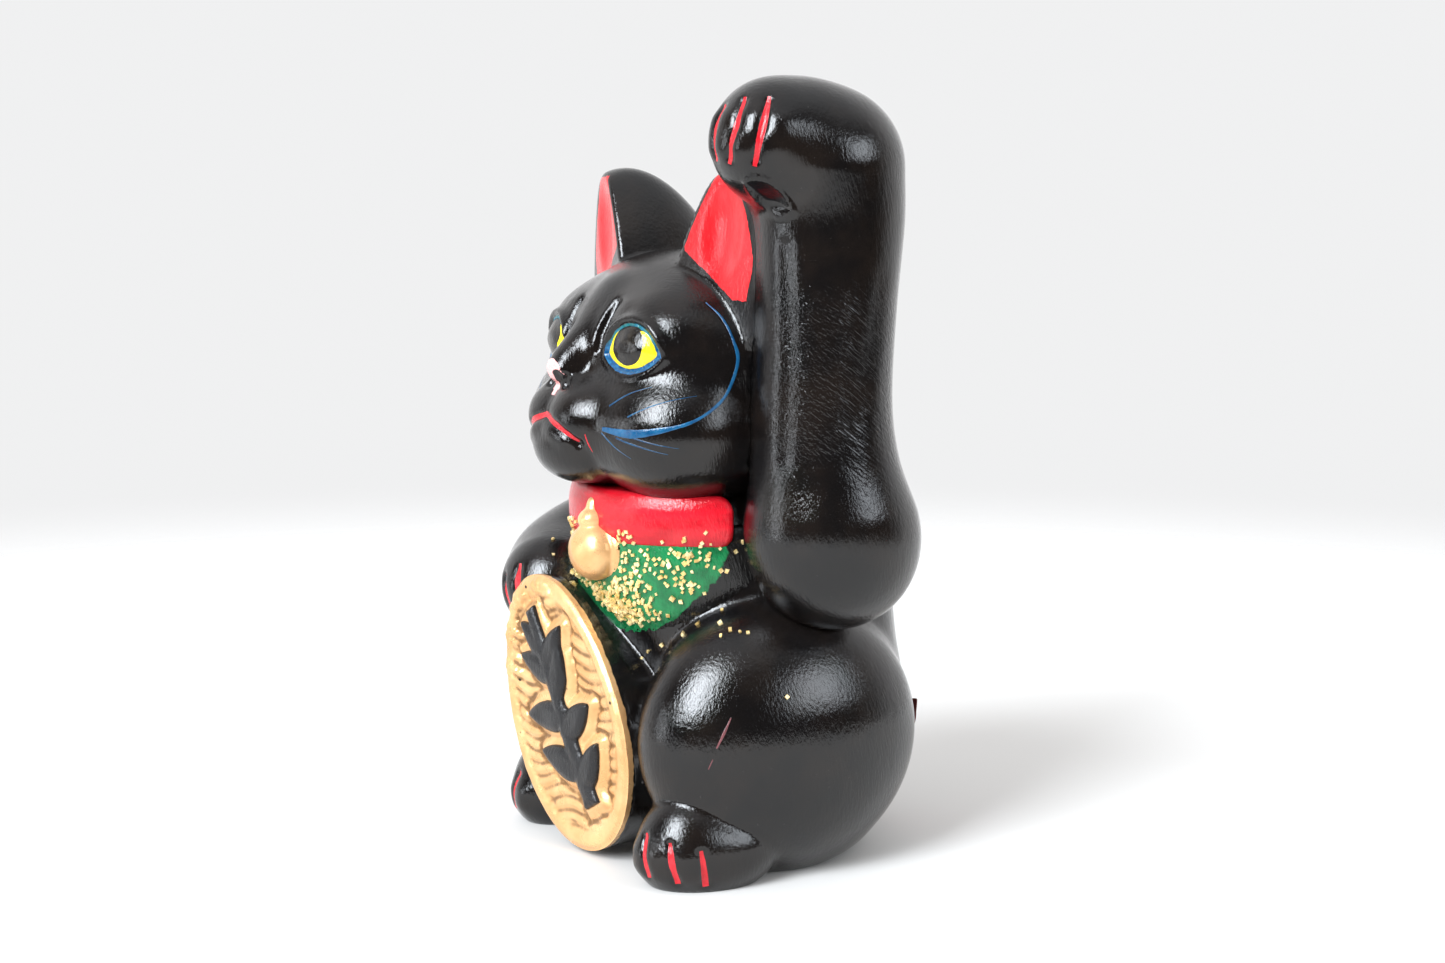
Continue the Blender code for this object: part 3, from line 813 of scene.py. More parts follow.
def koban_relief(x, z):
    """How far the gold face stands proud of the koban's plane, and how deep in a groove it is."""
    a, b = KOBAN_RADII
    r = np.hypot(x / a, z / b)
    edge = (1 - r) * a
    m = motif_distance(x, z)
    rim = 0.75 * smooth(edge, 4.6, 2.6)
    bed = smooth(edge, 2.6, 5.0)
    warp = 2.2 * wave(x, z, 3, 30)
    ribs = np.sin((z * 0.93 + x * 0.36 + warp) / 3.5 * tau)
    ribs = np.where(ribs > 0, ribs, ribs * 0.6) * 0.40
    halo = 1.25 * smooth(m, 2.7, 0.2)
    moat = -0.6 * np.exp(-((m - 3.2) / 0.9) ** 2)
    fan = np.zeros_like(x)
    for cx, cz, size in FANS:
        q = np.hypot(x - cx, z - cz)
        petals = np.cos(np.arctan2(z - cz, x - cx) * 9) * 0.12 * smooth(q, 0.6, 2)
        dome = 0.7 + petals * 1.6 + 0.35 * smooth(q, size * 0.5, size * 0.3)
        fan = np.maximum(fan, smooth(q, size, size - 1.4) * dome)
    lump = 0.10 * wave(x, z, 11, 9) + 0.05 * wave(x, z, 12, 4)
    away = smooth(m, 1.5, 4.2)
    crest = np.maximum(halo, fan * smooth(m, 1.2, 2.6))
    high = rim + bed * (ribs * away + moat) + crest + lump * 0.7
    round_edge = -1.1 * smooth(edge, 1.6, 0.0) ** 1.6
    depth = bed * (np.maximum(-ribs, 0) * away * 4 + np.exp(-((m - 3.4) / 0.8) ** 2))
    depth = np.maximum(depth, 0.8 * np.exp(-((edge - 5.2) / 0.6) ** 2) * smooth(wave(x, z, 5, 12), -0.2, 0.8))
    return high + round_edge, np.clip(depth, 0, 1.2)


def face_level(high):
    """Where the gold face lies along the koban's own Y when it stands that much proud."""
    return FACE + 0.55 - high * 0.92


def build_koban():
    rings, spokes = (int(90 / COARSE), int(320 / COARSE))
    a, b = KOBAN_RADII
    inner = np.linspace(0, 0.94, rings)[1:]
    outer = 0.94 + 0.06 * np.sin(np.linspace(0, pi / 2, 9))[1:]     # closer rings at the rim
    share = np.concatenate([inner, outer])
    angle = np.arange(spokes) / spokes * tau
    x = (share[:, None] * a * np.cos(angle)).ravel()
    z = (share[:, None] * b * np.sin(angle)).ravel()
    high, depth = koban_relief(x, z)
    verts = [np.stack([x, face_level(high), z], -1)]
    depths, walls = [depth], [np.zeros(len(x))]
    for back, inset in ((FACE + 1.6, 0.0), (1.6, 0.15), (4.6, 0.35), (7.2, 0.5)):
        ex, ez = (a - inset) * np.cos(angle), (b - inset) * np.sin(angle)
        thin = np.where(back > 1.6, 1 - 0.5 * smooth(np.sin(angle), -0.1, 0.5), 1)
        verts.append(np.stack([ex, back * thin, ez], -1))
        depths.append(np.zeros(spokes))
        walls.append(np.full(spokes, 1.0 if back > FACE + 1.7 else 0.0))
    for inset in (8.0, 17.0):
        ex, ez = (a - inset) * np.cos(angle), (b - inset * 1.2) * np.sin(angle)
        verts.append(np.stack([ex, 7.2 - 3.6 * smooth(np.sin(angle), -0.1, 0.5), ez], -1))
        depths.append(np.zeros(spokes))
        walls.append(np.ones(spokes))
    verts = np.vstack(verts)
    levels = len(verts) // spokes
    centre_high, _ = koban_relief(np.array([0.0]), np.array([0.0]))
    verts = np.vstack([verts, [0, face_level(centre_high[0]), 0], [0, 5.4, 0]])
    verts[:, 0] *= 1 - KOBAN_EGG * verts[:, 2] / b
    depths = np.concatenate(depths + [np.zeros(2)])
    walls = np.concatenate(walls + [np.array([0.0, 1.0])])
    front, rear = len(verts) - 2, len(verts) - 1
    n = np.arange(spokes)
    m = (n + 1) % spokes
    faces = [(front, int(i), int(j)) for i, j in zip(n, m)]
    for level in range(levels - 1):
        p, q = level * spokes, (level + 1) * spokes
        faces += [(int(p + i), int(q + i), int(q + j), int(p + j)) for i, j in zip(n, m)]
    last = (levels - 1) * spokes
    faces += [(rear, int(last + j), int(last + i)) for i, j in zip(n, m)]
    world = verts @ rotation(KOBAN_TURN).T.astype(float) + np.array(KOBAN_PLACE)
    obj = shape("koban_gold", world, faces, 60)
    mark(obj, depth=depths, wall=walls)
    obj.data.materials.append(gold_paint("koban", True))
    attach(obj, "figure")
    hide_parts("koban")


def build_motif():
    def fields(p):
        q = local(p, KOBAN_PLACE, KOBAN_TURN)
        x, z = q[..., 0] / (1 - KOBAN_EGG * q[..., 2] / KOBAN_RADII[1]), q[..., 2]
        m = motif_distance(x, z)
        high, _ = koban_relief(x, z)
        foot = face_level(high)
        crown = FACE - 1.75 - 0.75 * smooth(m, 0.2, -2.6) + 0.16 * wave(x, z, 21, 11)
        return [cut(m, crown - q[..., 1], 1.6).astype(F), (q[..., 1] - foot + 0.05).astype(F)]
    verts, quads = surface(fields, (-30, -58, 10), (22, -40, 76), 0.5)
    obj = shape("koban_motif_black", verts, quads, 50)
    obj.data.materials.append(black_paint())
    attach(obj, "figure")
    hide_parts("koban_motif")


# ---------------------------------------------------------------- brush strokes and glitter

def ribbon(field, points, widths, lift=0.05, steps=7, wobble=0.0, seed=0):
    """A closed strip of paint on the field's surface along the points."""
    rng = np.random.default_rng(seed)
    rows = curve([(*p, w) for p, w in zip(points, widths)], steps)
    line, normal = drop_onto(field, rows[:, :3])
    width = np.maximum(rows[:, 3], 0.08)
    if wobble:
        width = width * (1 + wobble * np.convolve(rng.normal(size=len(width) + 4), np.ones(5) / 5, "valid"))
    along = np.gradient(line, axis=0)
    along /= np.linalg.norm(along, axis=1, keepdims=True) + 1e-9
    across = np.cross(normal, along)
    shares = np.array([-1, -0.82, -0.45, 0, 0.45, 0.82, 1])
    lifts = np.array([-0.05, 0.6, 1, 1.05, 1, 0.6, -0.05]) * lift
    columns = []
    for share, up in zip(shares, lifts):
        side, n = drop_onto(field, line + across * (share * width / 2)[:, None], 4)
        columns.append(side + n * up)
    for share in (0.6, -0.6):
        side, n = drop_onto(field, line + across * (share * width / 2)[:, None], 4)
        columns.append(side - n * 0.22)
    grid = np.stack(columns, 1)
    count, wide = grid.shape[:2]
    verts = grid.reshape(-1, 3)
    faces = []
    for i in range(count - 1):
        for j in range(wide):
            k = (j + 1) % wide
            faces.append((i * wide + j, i * wide + k, (i + 1) * wide + k, (i + 1) * wide + j))
    faces.append(tuple(range(wide))[::-1])
    faces.append(tuple((count - 1) * wide + j for j in range(wide)))
    return verts, faces


def strokes(name, material, ribbons):
    verts, faces, start = [], [], 0
    for v, f in ribbons:
        verts.append(v)
        faces += [tuple(i + start for i in face) for face in f]
        start += len(v)
    obj = shape(name, np.vstack(verts), faces, 60)
    face_outward(obj)
    obj.data.materials.append(material)
    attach(obj, "figure")
    return obj


def longer(points, more=0.22):
    """The line as three points, with its ends moved outward."""
    if len(points) == 2:
        points = [points[0], np.mean(points, 0), points[1]]
    a, b, c = (np.array(point, float) for point in points)
    return [tuple(a + (a - b) * more), tuple(b), tuple(c + (c - b) * more)]


def flipped(points):
    return [(-x, y, z) for x, y, z in points]


ARC = [(32.6, -23.8, 151.5), (36.6, -21.3, 147.7), (39.8, -19.8, 142.1), (41.0, -19.1, 136.5),
       (40.7, -21.9, 128.8), (41.1, -26.9, 124.4), (40.3, -32.9, 121.3), (36.3, -39.4, 119.3),
       (29.6, -44.6, 118.1), (20.4, -47.9, 118.8)]
ARC_WIDTHS = [0.35, 0.6, 0.85, 1.0, 0.9, 0.8, 0.9, 1.25, 2.2, 1.2]
WHISKERS = [([(20.0, -48.0, 117.8), (24.3, -46.2, 114.3), (28.5, -43.7, 111.6)], 0.45),
            ([(25.2, -46.4, 116.8), (31.9, -42.9, 114.8), (37.0, -37.5, 113.1)], 0.5),
            ([(29.3, -44.7, 117.4), (34.9, -40.6, 115.8), (39.0, -35.4, 114.7)], 0.4),
            ([(21.2, -46.2, 124.8), (25.8, -42.9, 128.1), (30.7, -38.7, 130.1)], 0.5),
            ([(28.2, -44.6, 122.4), (34.3, -38.7, 126.0), (38.7, -29.9, 128.0)], 0.45)]
TICK = [(15.5, -50.4, 117.2), (15.5, -49.6, 114.6), (15.8, -48.5, 112.3)]
SCRATCHES = [[(52.9, -28.0, 46.4), (52.2, -29.6, 42.5), (51.4, -31.4, 38.5)],
             [(51.0, -32.3, 35.6), (50.3, -33.2, 33.0)]]


def build_blue_strokes():
    blue, thin = [], []
    for side in (list, flipped):
        blue.append(ribbon(skin_field, side(ARC), ARC_WIDTHS, 0.07, 8, 0.22, 5))
        for points, width in WHISKERS:
            widths = [width, width * 0.8, width * 0.3]
            thin.append(ribbon(skin_field, side(points), widths, 0.04, 6, 0.1, 6))
    dark = enamel("whisker_enamel", (0.003, 0.025, 0.07), (0.006, 0.055, 0.12))
    strokes("whiskers", dark, thin)
    bright = enamel("blue_enamel", (0.003, 0.045, 0.12), (0.007, 0.09, 0.20))
    strokes("blue_strokes", bright, blue)


def build_red_strokes():
    red = []
    for line in PAW_STROKES:
        red.append(ribbon(skin_field, longer(line), [1.0, 2.5, 1.5], 0.1, 8, 0.12, 7))
    for line in HOLDING_STROKES:
        red.append(ribbon(skin_field, longer(line), [1.0, 2.2, 1.5], 0.1, 7, 0.12, 8))
    for side in (list, flipped):
        for line in FOOT_STROKES:
            red.append(ribbon(skin_field, side(longer(line)), [1.0, 2.1, 1.6], 0.1, 7, 0.1, 9))
        red.append(ribbon(skin_field, side(MOUTH)[1:], [2.1, 2.2, 1.8, 0.7], 0.13, 8, 0.12, 10))
        red.append(ribbon(skin_field, side(TICK), [0.2, 0.42, 0.2], 0.04, 6, 0.2, 11))
    red.append(ribbon(skin_field, flipped(MOUTH[1:2]) + MOUTH[:2], [2.1, 2.0, 2.1], 0.13, 6))
    strokes("red_strokes", enamel("red_strokes", (0.40, 0.006, 0.012), (0.55, 0.02, 0.03)), red)


def build_scratch():
    scratch = [ribbon(skin_field, SCRATCHES[0], [0.2, 0.75, 0.3], 0.04, 7, 0.3, 12),
               ribbon(skin_field, SCRATCHES[1], [0.25, 0.3], 0.03, 6)]
    colours = enamel("scratch", (0.075, 0.018, 0.022), (0.15, 0.05, 0.055))
    strokes("thigh_scratch", colours, scratch)


def grain(rng, centre, normal, size):
    """One small crystal of glitter, as a skewed block lying on the surface."""
    x = np.cross(normal, rng.normal(size=3))
    x /= np.linalg.norm(x)
    y = np.cross(normal, x)
    half = size * np.array((rng.uniform(0.40, 0.62), rng.uniform(0.34, 0.55), rng.uniform(0.22, 0.40)))
    tilt = rng.uniform(-0.25, 0.25, 2)
    verts = []
    for i, j, k in CORNERS * 2 - 1:
        jitter = rng.uniform(0.72, 1.1, 3)
        p = half * (i, j, k) * jitter
        p[2] += half[2] * 0.75 + tilt[0] * p[0] + tilt[1] * p[1]
        verts.append(centre + x * p[0] + y * p[1] + normal * p[2])
    return verts


GRAIN_FACES = [(0, 1, 3, 2), (4, 6, 7, 5), (0, 4, 5, 1), (2, 3, 7, 6), (0, 2, 6, 4), (1, 5, 7, 3)]
# Clouds of glitter on the bib, seen from the front: middle, spread, number of grains.
GLITTER = [((10.5, 68.0), (6.4, 3.6), 250), ((3.0, 71.0), (6.5, 5.5), 110), ((-13.0, 84.0), (4.5, 9.0), 80),
           ((-7.0, 76.0), (5.0, 5.5), 60), ((22.0, 84.0), (7.5, 2.2), 44), ((31.5, 85.0), (2.4, 3.6), 40),
           ((13.5, 82.5), (3.0, 6.0), 40), ((25.0, 77.5), (4.5, 4.0), 26), ((30.0, 76.5), (1.6, 2.2), 12),
           ((16.0, 75.0), (5.0, 4.0), 34)]
STRAY = [(44.2, -20.3, 66.6), (41.8, -24.6, 65.5), (42.1, -22.0, 66.9), (45.8, -18.8, 66.8),
         (56.7, -13.6, 51.0), (12.0, -32.3, 54.8), (20.0, -30.4, 60.0), (33.2, -19.1, 70.3),
         (15.9, -33.3, 57.4), (-24.7, -40.4, 84.7), (28.6, -26, 61.5), (38.2, -22.4, 67.4),
         (30.4, -24.4, 66.2), (-20.5, -42.4, 80.2), (3.0, -40.8, 58.0)]


def build_glitter():
    rng = np.random.default_rng(4)
    verts, faces = [], []

    def bib_skin(p):
        return np.minimum(np.minimum(bib_outer(p), collar_outer(p)), skin_field(p))

    spots = []
    for (x, z), (sx, sz), count in GLITTER:
        for _ in range(count):
            spots.append((rng.normal(x, sx), rng.normal(z, sz)))
    spots = np.array(spots)
    keep = bib_outline(np.stack([spots[:, 0], spots[:, 0], spots[:, 1]], -1), 35.5, 28.0, 87.2) < 0
    keep &= spots[:, 1] < 92
    spots = spots[keep]
    front = -10 - 32 * np.sqrt(np.clip(1 - (spots[:, 0] / 37) ** 2, 0.02, 1))
    start = np.stack([spots[:, 0], front, spots[:, 1]], -1)
    points, normals = drop_onto(bib_skin, start)
    clear = bell_outer(points.astype(F)) > 0.4
    side, k = koban_distance(points.astype(F))
    clear &= (side > 0.5) | (k[..., 1] > 8)
    points, normals = points[clear], normals[clear]
    loose, loose_normals = drop_onto(skin_field, np.array(STRAY))
    points, normals = np.vstack([points, loose]), np.vstack([normals, loose_normals])
    for p, n in zip(points, normals):
        start = len(verts)
        verts += grain(rng, p, n, rng.uniform(0.75, 1.25))
        faces += [tuple(start + i for i in face) for face in GRAIN_FACES]
    obj = shape("glitter", np.array(verts), faces)
    obj.data.shade_flat()
    face_outward(obj)
    obj.data.materials.append(glitter_gold())
    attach(obj, "figure")


# ---------------------------------------------------------------- label and stopper

LABEL_PLACE, LABEL_TURN, LABEL_SIZE = (20.5, 60, 26.5), -16, (19.4, 23.4)


def build_label():
    """A thin paper label on the cat's back with one corner that has come loose."""
    columns, rows = 30, 34
    wide, high = LABEL_SIZE
    centre, turn = np.array(LABEL_PLACE), radians(LABEL_TURN)
    across = np.array((cos(turn), sin(turn), 0))
    inward = np.array((sin(turn), -cos(turn), 0))
    grid = []
    for j in range(rows):
        for i in range(columns):
            u, v = i / (columns - 1) - 0.5, j / (rows - 1) - 0.5
            fray = 0.25 * sin(37 * v + 3) * (abs(u) > 0.49) + 0.25 * sin(31 * u) * (abs(v) > 0.49)
            upright = np.array((0, 0, v * high + fray * (v > 0)))
            grid.append(centre + across * (u * wide + fray * (u > 0)) + upright)
    start = np.array(grid)
    for _ in range(24):
        gap = skin_field(start.astype(F))[:, None]
        start = start + inward * gap * 0.8
    normals = slope_of(skin_field, start.astype(F))
    u = np.tile(np.arange(columns) / (columns - 1) - 0.5, rows)
    v = np.repeat(np.arange(rows) / (rows - 1) - 0.5, columns)
    loose = np.clip((u + 0.12 * v - 0.08) / 0.45, 0, 1)
    lift = 0.12 + 3.6 * loose ** 1.6 + 0.10 * (1 + np.sin(9 * u + 5 * v))
    verts = np.vstack([start + normals * (lift + side)[:, None] for side in (0.14, -0.08)])
    n = columns * rows
    faces = []
    for j in range(rows - 1):
        for i in range(columns - 1):
            a = j * columns + i
            faces.append((a, a + 1, a + columns + 1, a + columns))
            faces.append((n + a, n + a + columns, n + a + columns + 1, n + a + 1))
    rim = list(range(columns)) + [j * columns + columns - 1 for j in range(1, rows)]
    rim += [(rows - 1) * columns + i for i in range(columns - 2, -1, -1)]
    rim += [j * columns for j in range(rows - 2, 0, -1)]
    for a, b in zip(rim, rim[1:] + rim[:1]):
        faces.append((a, n + a, n + b, b))
    obj = shape("paper_label", verts, faces, 50)
    face_outward(obj)
    obj.data.materials.append(label_paper())
    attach(obj, "figure")
    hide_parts("back_label")


# The plug's outline from its hollow underside to its top: radius, height.
STOPPER = [(0, 2.7), (7.4, 2.7), (7.9, 2.5), (8.1, 1.1), (8.5, 0.65), (13.9, 0.6), (14.7, 0.75),
           (15.15, 1.3), (15.2, 2.2), (14.9, 2.62), (12.4, 2.66), (11.98, 2.9), (11.95, 5.6), (12.05, 6.2),
           (11.95, 6.8), (11.5, 9.8), (11.0, 11.6), (10.2, 12.25), (9.2, 12.4), (0, 12.4)]
GRIP_SIZE, GRIP_HEIGHT, GRIP_EDGE = (3.2, 15.4, 2.3), 1.9, 0.5


def build_stopper():
    """A turned rubber plug with a moulded grip across its hollow."""
    sides = 96
    verts, faces = [(0, 0, STOPPER[0][1])], []
    for r, z in STOPPER[1:-1]:
        verts += [(r * cos(tau * i / sides), r * sin(tau * i / sides), z) for i in range(sides)]
    verts.append((0, 0, STOPPER[-1][1]))
    rings = len(STOPPER) - 2
    for i in range(sides):
        j = (i + 1) % sides
        faces.append((0, 1 + j, 1 + i))
        for ring in range(rings - 1):
            a = 1 + ring * sides
            faces.append((a + i, a + j, a + sides + j, a + sides + i))
        last = 1 + (rings - 1) * sides
        faces.append((last + i, last + j, len(verts) - 1))
    place = np.array((*STOPPER_AT, 0))
    plug = shape("stopper_rubber", np.array(verts) + place, faces, 35)
    face_outward(plug)
    bm = bmesh.new()
    bmesh.ops.create_cube(bm, size=1)
    for v in bm.verts:
        v.co = v.co * Vector(GRIP_SIZE)
    bmesh.ops.bevel(bm, geom=bm.edges[:], offset=GRIP_EDGE, segments=3, affect="EDGES")
    grip_verts = np.array([v.co[:] for v in bm.verts]) + place + np.array((0, 0, GRIP_HEIGHT))
    grip_faces = [[v.index for v in f.verts] for f in bm.faces]
    bm.free()
    grip = shape("stopper_grip", grip_verts, grip_faces, 40)
    for obj in (plug, grip):
        obj.data.materials.append(rubber())
        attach(obj, "stopper")
    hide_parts("stopper")


# ---------------------------------------------------------------- materials

class Tree:
    """Short calls for building a node tree."""

    def __init__(self, name, world=False):
        self.owner = bpy.data.worlds.new(name) if world else bpy.data.materials.new(name)
        self.owner.use_nodes = True
        self.tree = self.owner.node_tree
        self.tree.nodes.clear()

    def add(self, kind, inputs=None, **settings):
        node = self.tree.nodes.new("ShaderNode" + kind)
        for key, value in settings.items():
            setattr(node, key, value)
        for key, value in (inputs or {}).items():
            self.put(node.inputs[key], value)
        return node

    def put(self, socket, value):
        if isinstance(value, bpy.types.NodeSocket):
            self.tree.links.new(value, socket)
        elif isinstance(value, tuple) and len(value) == 3 and socket.type == "RGBA":
            socket.default_value = (*value, 1)
        else:
            socket.default_value = value

    def math(self, operation, a, b=0.0, c=0.0):
        return self.add("Math", {0: a, 1: b, 2: c}, operation=operation).outputs[0]

    def times(self, a, b):
        return self.math("MULTIPLY", a, b)

    def plus(self, a, b):
        return self.math("ADD", a, b)

    def dot(self, a, b):
        return self.add("VectorMath", {0: a, 1: b}, operation="DOT_PRODUCT").outputs["Value"]

    def wobble(self, *noise):
        """Noise that runs evenly below and above zero."""
        return self.math("SUBTRACT", self.noise(*noise), 0.5)

    def mix(self, share, a, b):
        node = self.add("Mix", {"Factor": share}, data_type="RGBA")
        self.put(node.inputs[6], a)
        self.put(node.inputs[7], b)
        return node.outputs[2]

    def blend(self, share, a, b):
        node = self.add("Mix", {"Factor": share}, data_type="FLOAT")
        self.put(node.inputs[2], a)
        self.put(node.inputs[3], b)
        return node.outputs[0]

    def ramp(self, value, low, high, to_low=0.0, to_high=1.0):
        node = self.add("MapRange", {"Value": value, "From Min": low, "From Max": high, "To Min": to_low,
                                     "To Max": to_high}, interpolation_type="SMOOTHSTEP")
        return node.outputs[0]

    def rough(self, scale, detail, low, high):
        """A roughness that wanders from low to high."""
        return self.ramp(self.noise(scale, detail), 0.3, 0.7, low, high)

    def attribute(self, name):
        return self.add("Attribute", attribute_name=name).outputs["Fac"]

    def place(self, stretch=(1, 1, 1), turn=(0, 0, 0)):
        where = self.add("TexCoord").outputs["Object"]
        angles = tuple(radians(t) for t in turn)
        inputs = {"Vector": where, "Scale": stretch, "Rotation": angles}
        return self.add("Mapping", inputs, vector_type="TEXTURE").outputs[0]

    def noise(self, scale, detail=2.0, rough=0.5, where=None):
        inputs = {"Scale": scale, "Detail": detail, "Roughness": rough, "Vector": where or self.place()}
        return self.add("TexNoise", inputs).outputs["Fac"]

    def bump(self, height, distance, strength=1.0, normal=None):
        inputs = {"Height": height, "Distance": distance, "Strength": strength}
        if normal is not None:
            inputs["Normal"] = normal
        return self.add("Bump", inputs).outputs["Normal"]

    def principled(self, **inputs):
        names = {key.replace("_", " "): value for key, value in inputs.items()}
        node = self.add("BsdfPrincipled", names)
        out = self.add("OutputMaterial")
        self.tree.links.new(node.outputs[0], out.inputs[0])
        return self.owner


def gloss_relief(t, streak=1.0):
    """The glaze's own relief: a slow swell and a fine brushed streak."""
    swell = t.noise(75, 2)
    streaks = t.noise(1400, 3, 0.65, t.place((1, 1, 5), (14, 10, 0)))
    normal = t.bump(swell, 0.0007, 0.3)
    return t.bump(streaks, 0.00012 * streak, 1.0, normal)


def glaze(name, face=False, fur=False):
    t = Tree(name)
    tint = t.noise(55, 3, 0.6)
    deep = t.mix(t.ramp(tint, 0.35, 0.7), (0.0035, 0.0032, 0.0034), (0.0085, 0.0062, 0.0052))
    dust = t.ramp(t.noise(1500, 1), 0.76, 0.80)
    colour = t.mix(t.times(dust, 0.5), deep, (0.06, 0.055, 0.05))
    rough = t.ramp(t.noise(30, 4, 0.6), 0.3, 0.75, 0.045, 0.10)
    normal = gloss_relief(t)
    if fur:
        hair = t.noise(1300, 2, 0.5, t.place((1, 1, 10), (52, 0, 0)))
        normal = t.bump(t.times(hair, t.attribute("fur")), 0.00020, 1.0, normal)
    if face:
        wobble = t.wobble(420, 3, 0.6)
        red_edge = t.plus(t.attribute("ear"), t.times(wobble, 1.1))
        red_on = t.ramp(red_edge, 0.08, -0.08)
        shade = t.ramp(t.noise(130, 4, 0.65, t.place((1, 1, 2.5))), 0.3, 0.75)
        red = t.mix(shade, (0.46, 0.006, 0.010), (0.72, 0.022, 0.028))
        colour = t.mix(red_on, colour, red)
        nose_on = t.ramp(t.plus(t.attribute("nose"), t.times(wobble, 0.5)), 0.06, -0.06)
        colour = t.mix(nose_on, colour, t.mix(t.noise(500, 2), (0.70, 0.30, 0.29), (0.86, 0.46, 0.44)))
        small = t.times(wobble, 0.55)
        almond = t.plus(t.attribute("almond"), small)
        pupil = t.plus(t.attribute("pupil"), small)
        width = t.attribute("rim")
        inner = t.ramp(t.math("SUBTRACT", almond, width), 0.06, -0.06)
        band = t.times(t.ramp(almond, -0.12, 0.02), inner)
        blue = t.mix(t.attribute("lid"), (0.004, 0.055, 0.15), (0.010, 0.12, 0.13))
        blue = t.mix(t.ramp(t.noise(800, 2), 0.45, 0.75), blue, (0.010, 0.12, 0.26))
        colour = t.mix(t.times(band, t.ramp(t.noise(300, 2), 0.2, 0.32)), colour, blue)
        yellow_on = t.times(t.ramp(almond, 0.06, -0.10), t.ramp(pupil, -0.06, 0.06))
        # The yellow is cut off near the top of the eye, and the dark left there is painted shade under the
        # upper lid.
        yellow_on = t.times(yellow_on, t.ramp(t.attribute("gaze"), -0.08, 0.08))
        yellow = t.mix(t.ramp(t.noise(350, 3), 0.35, 0.7), (0.72, 0.56, 0.008), (0.90, 0.76, 0.02))
        colour = t.mix(yellow_on, colour, yellow)
        iris = t.times(t.ramp(pupil, 0.0, -0.3), t.ramp(t.noise(420, 3, 0.7), 0.4, 0.7))
        colour = t.mix(t.times(iris, 0.5), colour, (0.035, 0.028, 0.02))
    return t.principled(Base_Color=colour, Roughness=rough, Normal=normal, IOR=1.52)


def enamel(name, first, second, scale=260, roughness=(0.10, 0.2)):
    t = Tree(name)
    colour = t.mix(t.ramp(t.noise(scale, 4, 0.6), 0.3, 0.72), first, second)
    rough = t.rough(scale * 2, 2, *roughness)
    return t.principled(Base_Color=colour, Roughness=rough, Normal=gloss_relief(t, 1.4), IOR=1.5)


def red_enamel():
    t = Tree("red_enamel")
    brushed = t.noise(120, 4, 0.65, t.place((3, 3, 1)))
    colour = t.mix(t.ramp(brushed, 0.32, 0.68), (0.36, 0.004, 0.010), (0.64, 0.010, 0.022))
    colour = t.mix(t.ramp(t.noise(60, 2), 0.55, 0.75), colour, (0.50, 0.03, 0.035))
    rough = t.rough(150, 3, 0.07, 0.17)
    return t.principled(Base_Color=colour, Roughness=rough, Normal=gloss_relief(t, 1.6), IOR=1.5)


def green_enamel():
    t = Tree("green_enamel")
    brushed = t.noise(170, 4, 0.65, t.place((2.4, 1, 1), (0, 35, 0)))
    green = t.mix(t.ramp(brushed, 0.3, 0.72), (0.003, 0.085, 0.026), (0.008, 0.19, 0.058))
    black = t.mix(t.noise(200, 2), (0.0035, 0.0035, 0.0035), (0.009, 0.008, 0.0075))
    wobble = t.times(t.wobble(230, 3, 0.6), 2.0)
    inside = t.ramp(t.plus(t.attribute("green"), wobble), 0.12, -0.12)
    front = t.ramp(t.attribute("front"), -0.9, -0.5)
    colour = t.mix(t.times(inside, front), black, green)
    rough = t.rough(170, 3, 0.06, 0.16)
    return t.principled(Base_Color=colour, Roughness=rough, Normal=gloss_relief(t, 2.2), IOR=1.5)


def gold_paint(name, koban=False):
    t = Tree(name + "_gold")
    worn = t.ramp(t.noise(90, 4, 0.65), 0.3, 0.75)
    gold = t.mix(worn, (0.62, 0.335, 0.135), (0.80, 0.49, 0.23))
    grainy = t.noise(2600, 2, 0.6)
    satin = t.rough(200, 3, 0.24, 0.38)
    if koban:
        wash = t.times(t.attribute("depth"), t.ramp(t.noise(260, 3, 0.6), 0.15, 0.7, 0.35, 1.0))
        gold = t.mix(t.ramp(wash, 0.15, 0.9, 0.0, 0.85), gold, (0.13, 0.06, 0.018))
        pits = t.add("TexVoronoi", {"Scale": 170.0, "Vector": t.place()}).outputs["Distance"]
        pits = t.times(t.ramp(pits, 0.10, 0.06), t.ramp(t.noise(75, 1), 0.52, 0.58))
        gold = t.mix(pits, gold, (0.012, 0.009, 0.007))
        wobble = t.times(t.wobble(260, 3), 0.8)
        wall = t.ramp(t.plus(t.attribute("wall"), wobble), 0.42, 0.52)
        colour = t.mix(wall, gold, (0.006, 0.0055, 0.0055))
        metal = t.blend(wall, 0.45, 0.0)
        rough = t.blend(wall, satin, 0.10)
    else:
        colour, metal, rough = gold, 0.45, satin
    normal = t.bump(grainy, 0.00006, 0.5, t.bump(t.noise(330, 3), 0.00025, 0.5))
    return t.principled(Base_Color=colour, Roughness=rough, Metallic=metal, Normal=normal)


def black_paint():
    t = Tree("motif_black")
    colour = t.mix(t.noise(150, 3), (0.006, 0.0058, 0.0062), (0.016, 0.0155, 0.0165))
    rough = t.rough(120, 3, 0.24, 0.36)
    return t.principled(Base_Color=colour, Roughness=rough, Normal=gloss_relief(t, 1.5), IOR=1.42)


def glitter_gold():
    t = Tree("glitter_gold")
    colour = t.mix(t.ramp(t.noise(420, 2), 0.35, 0.7), (0.74, 0.50, 0.17), (0.95, 0.78, 0.42))
    rough = t.rough(600, 2, 0.22, 0.42)
    facets = t.bump(t.noise(2500, 2), 0.00008)
    return t.principled(Base_Color=colour, Roughness=rough, Metallic=0.45, Normal=facets)


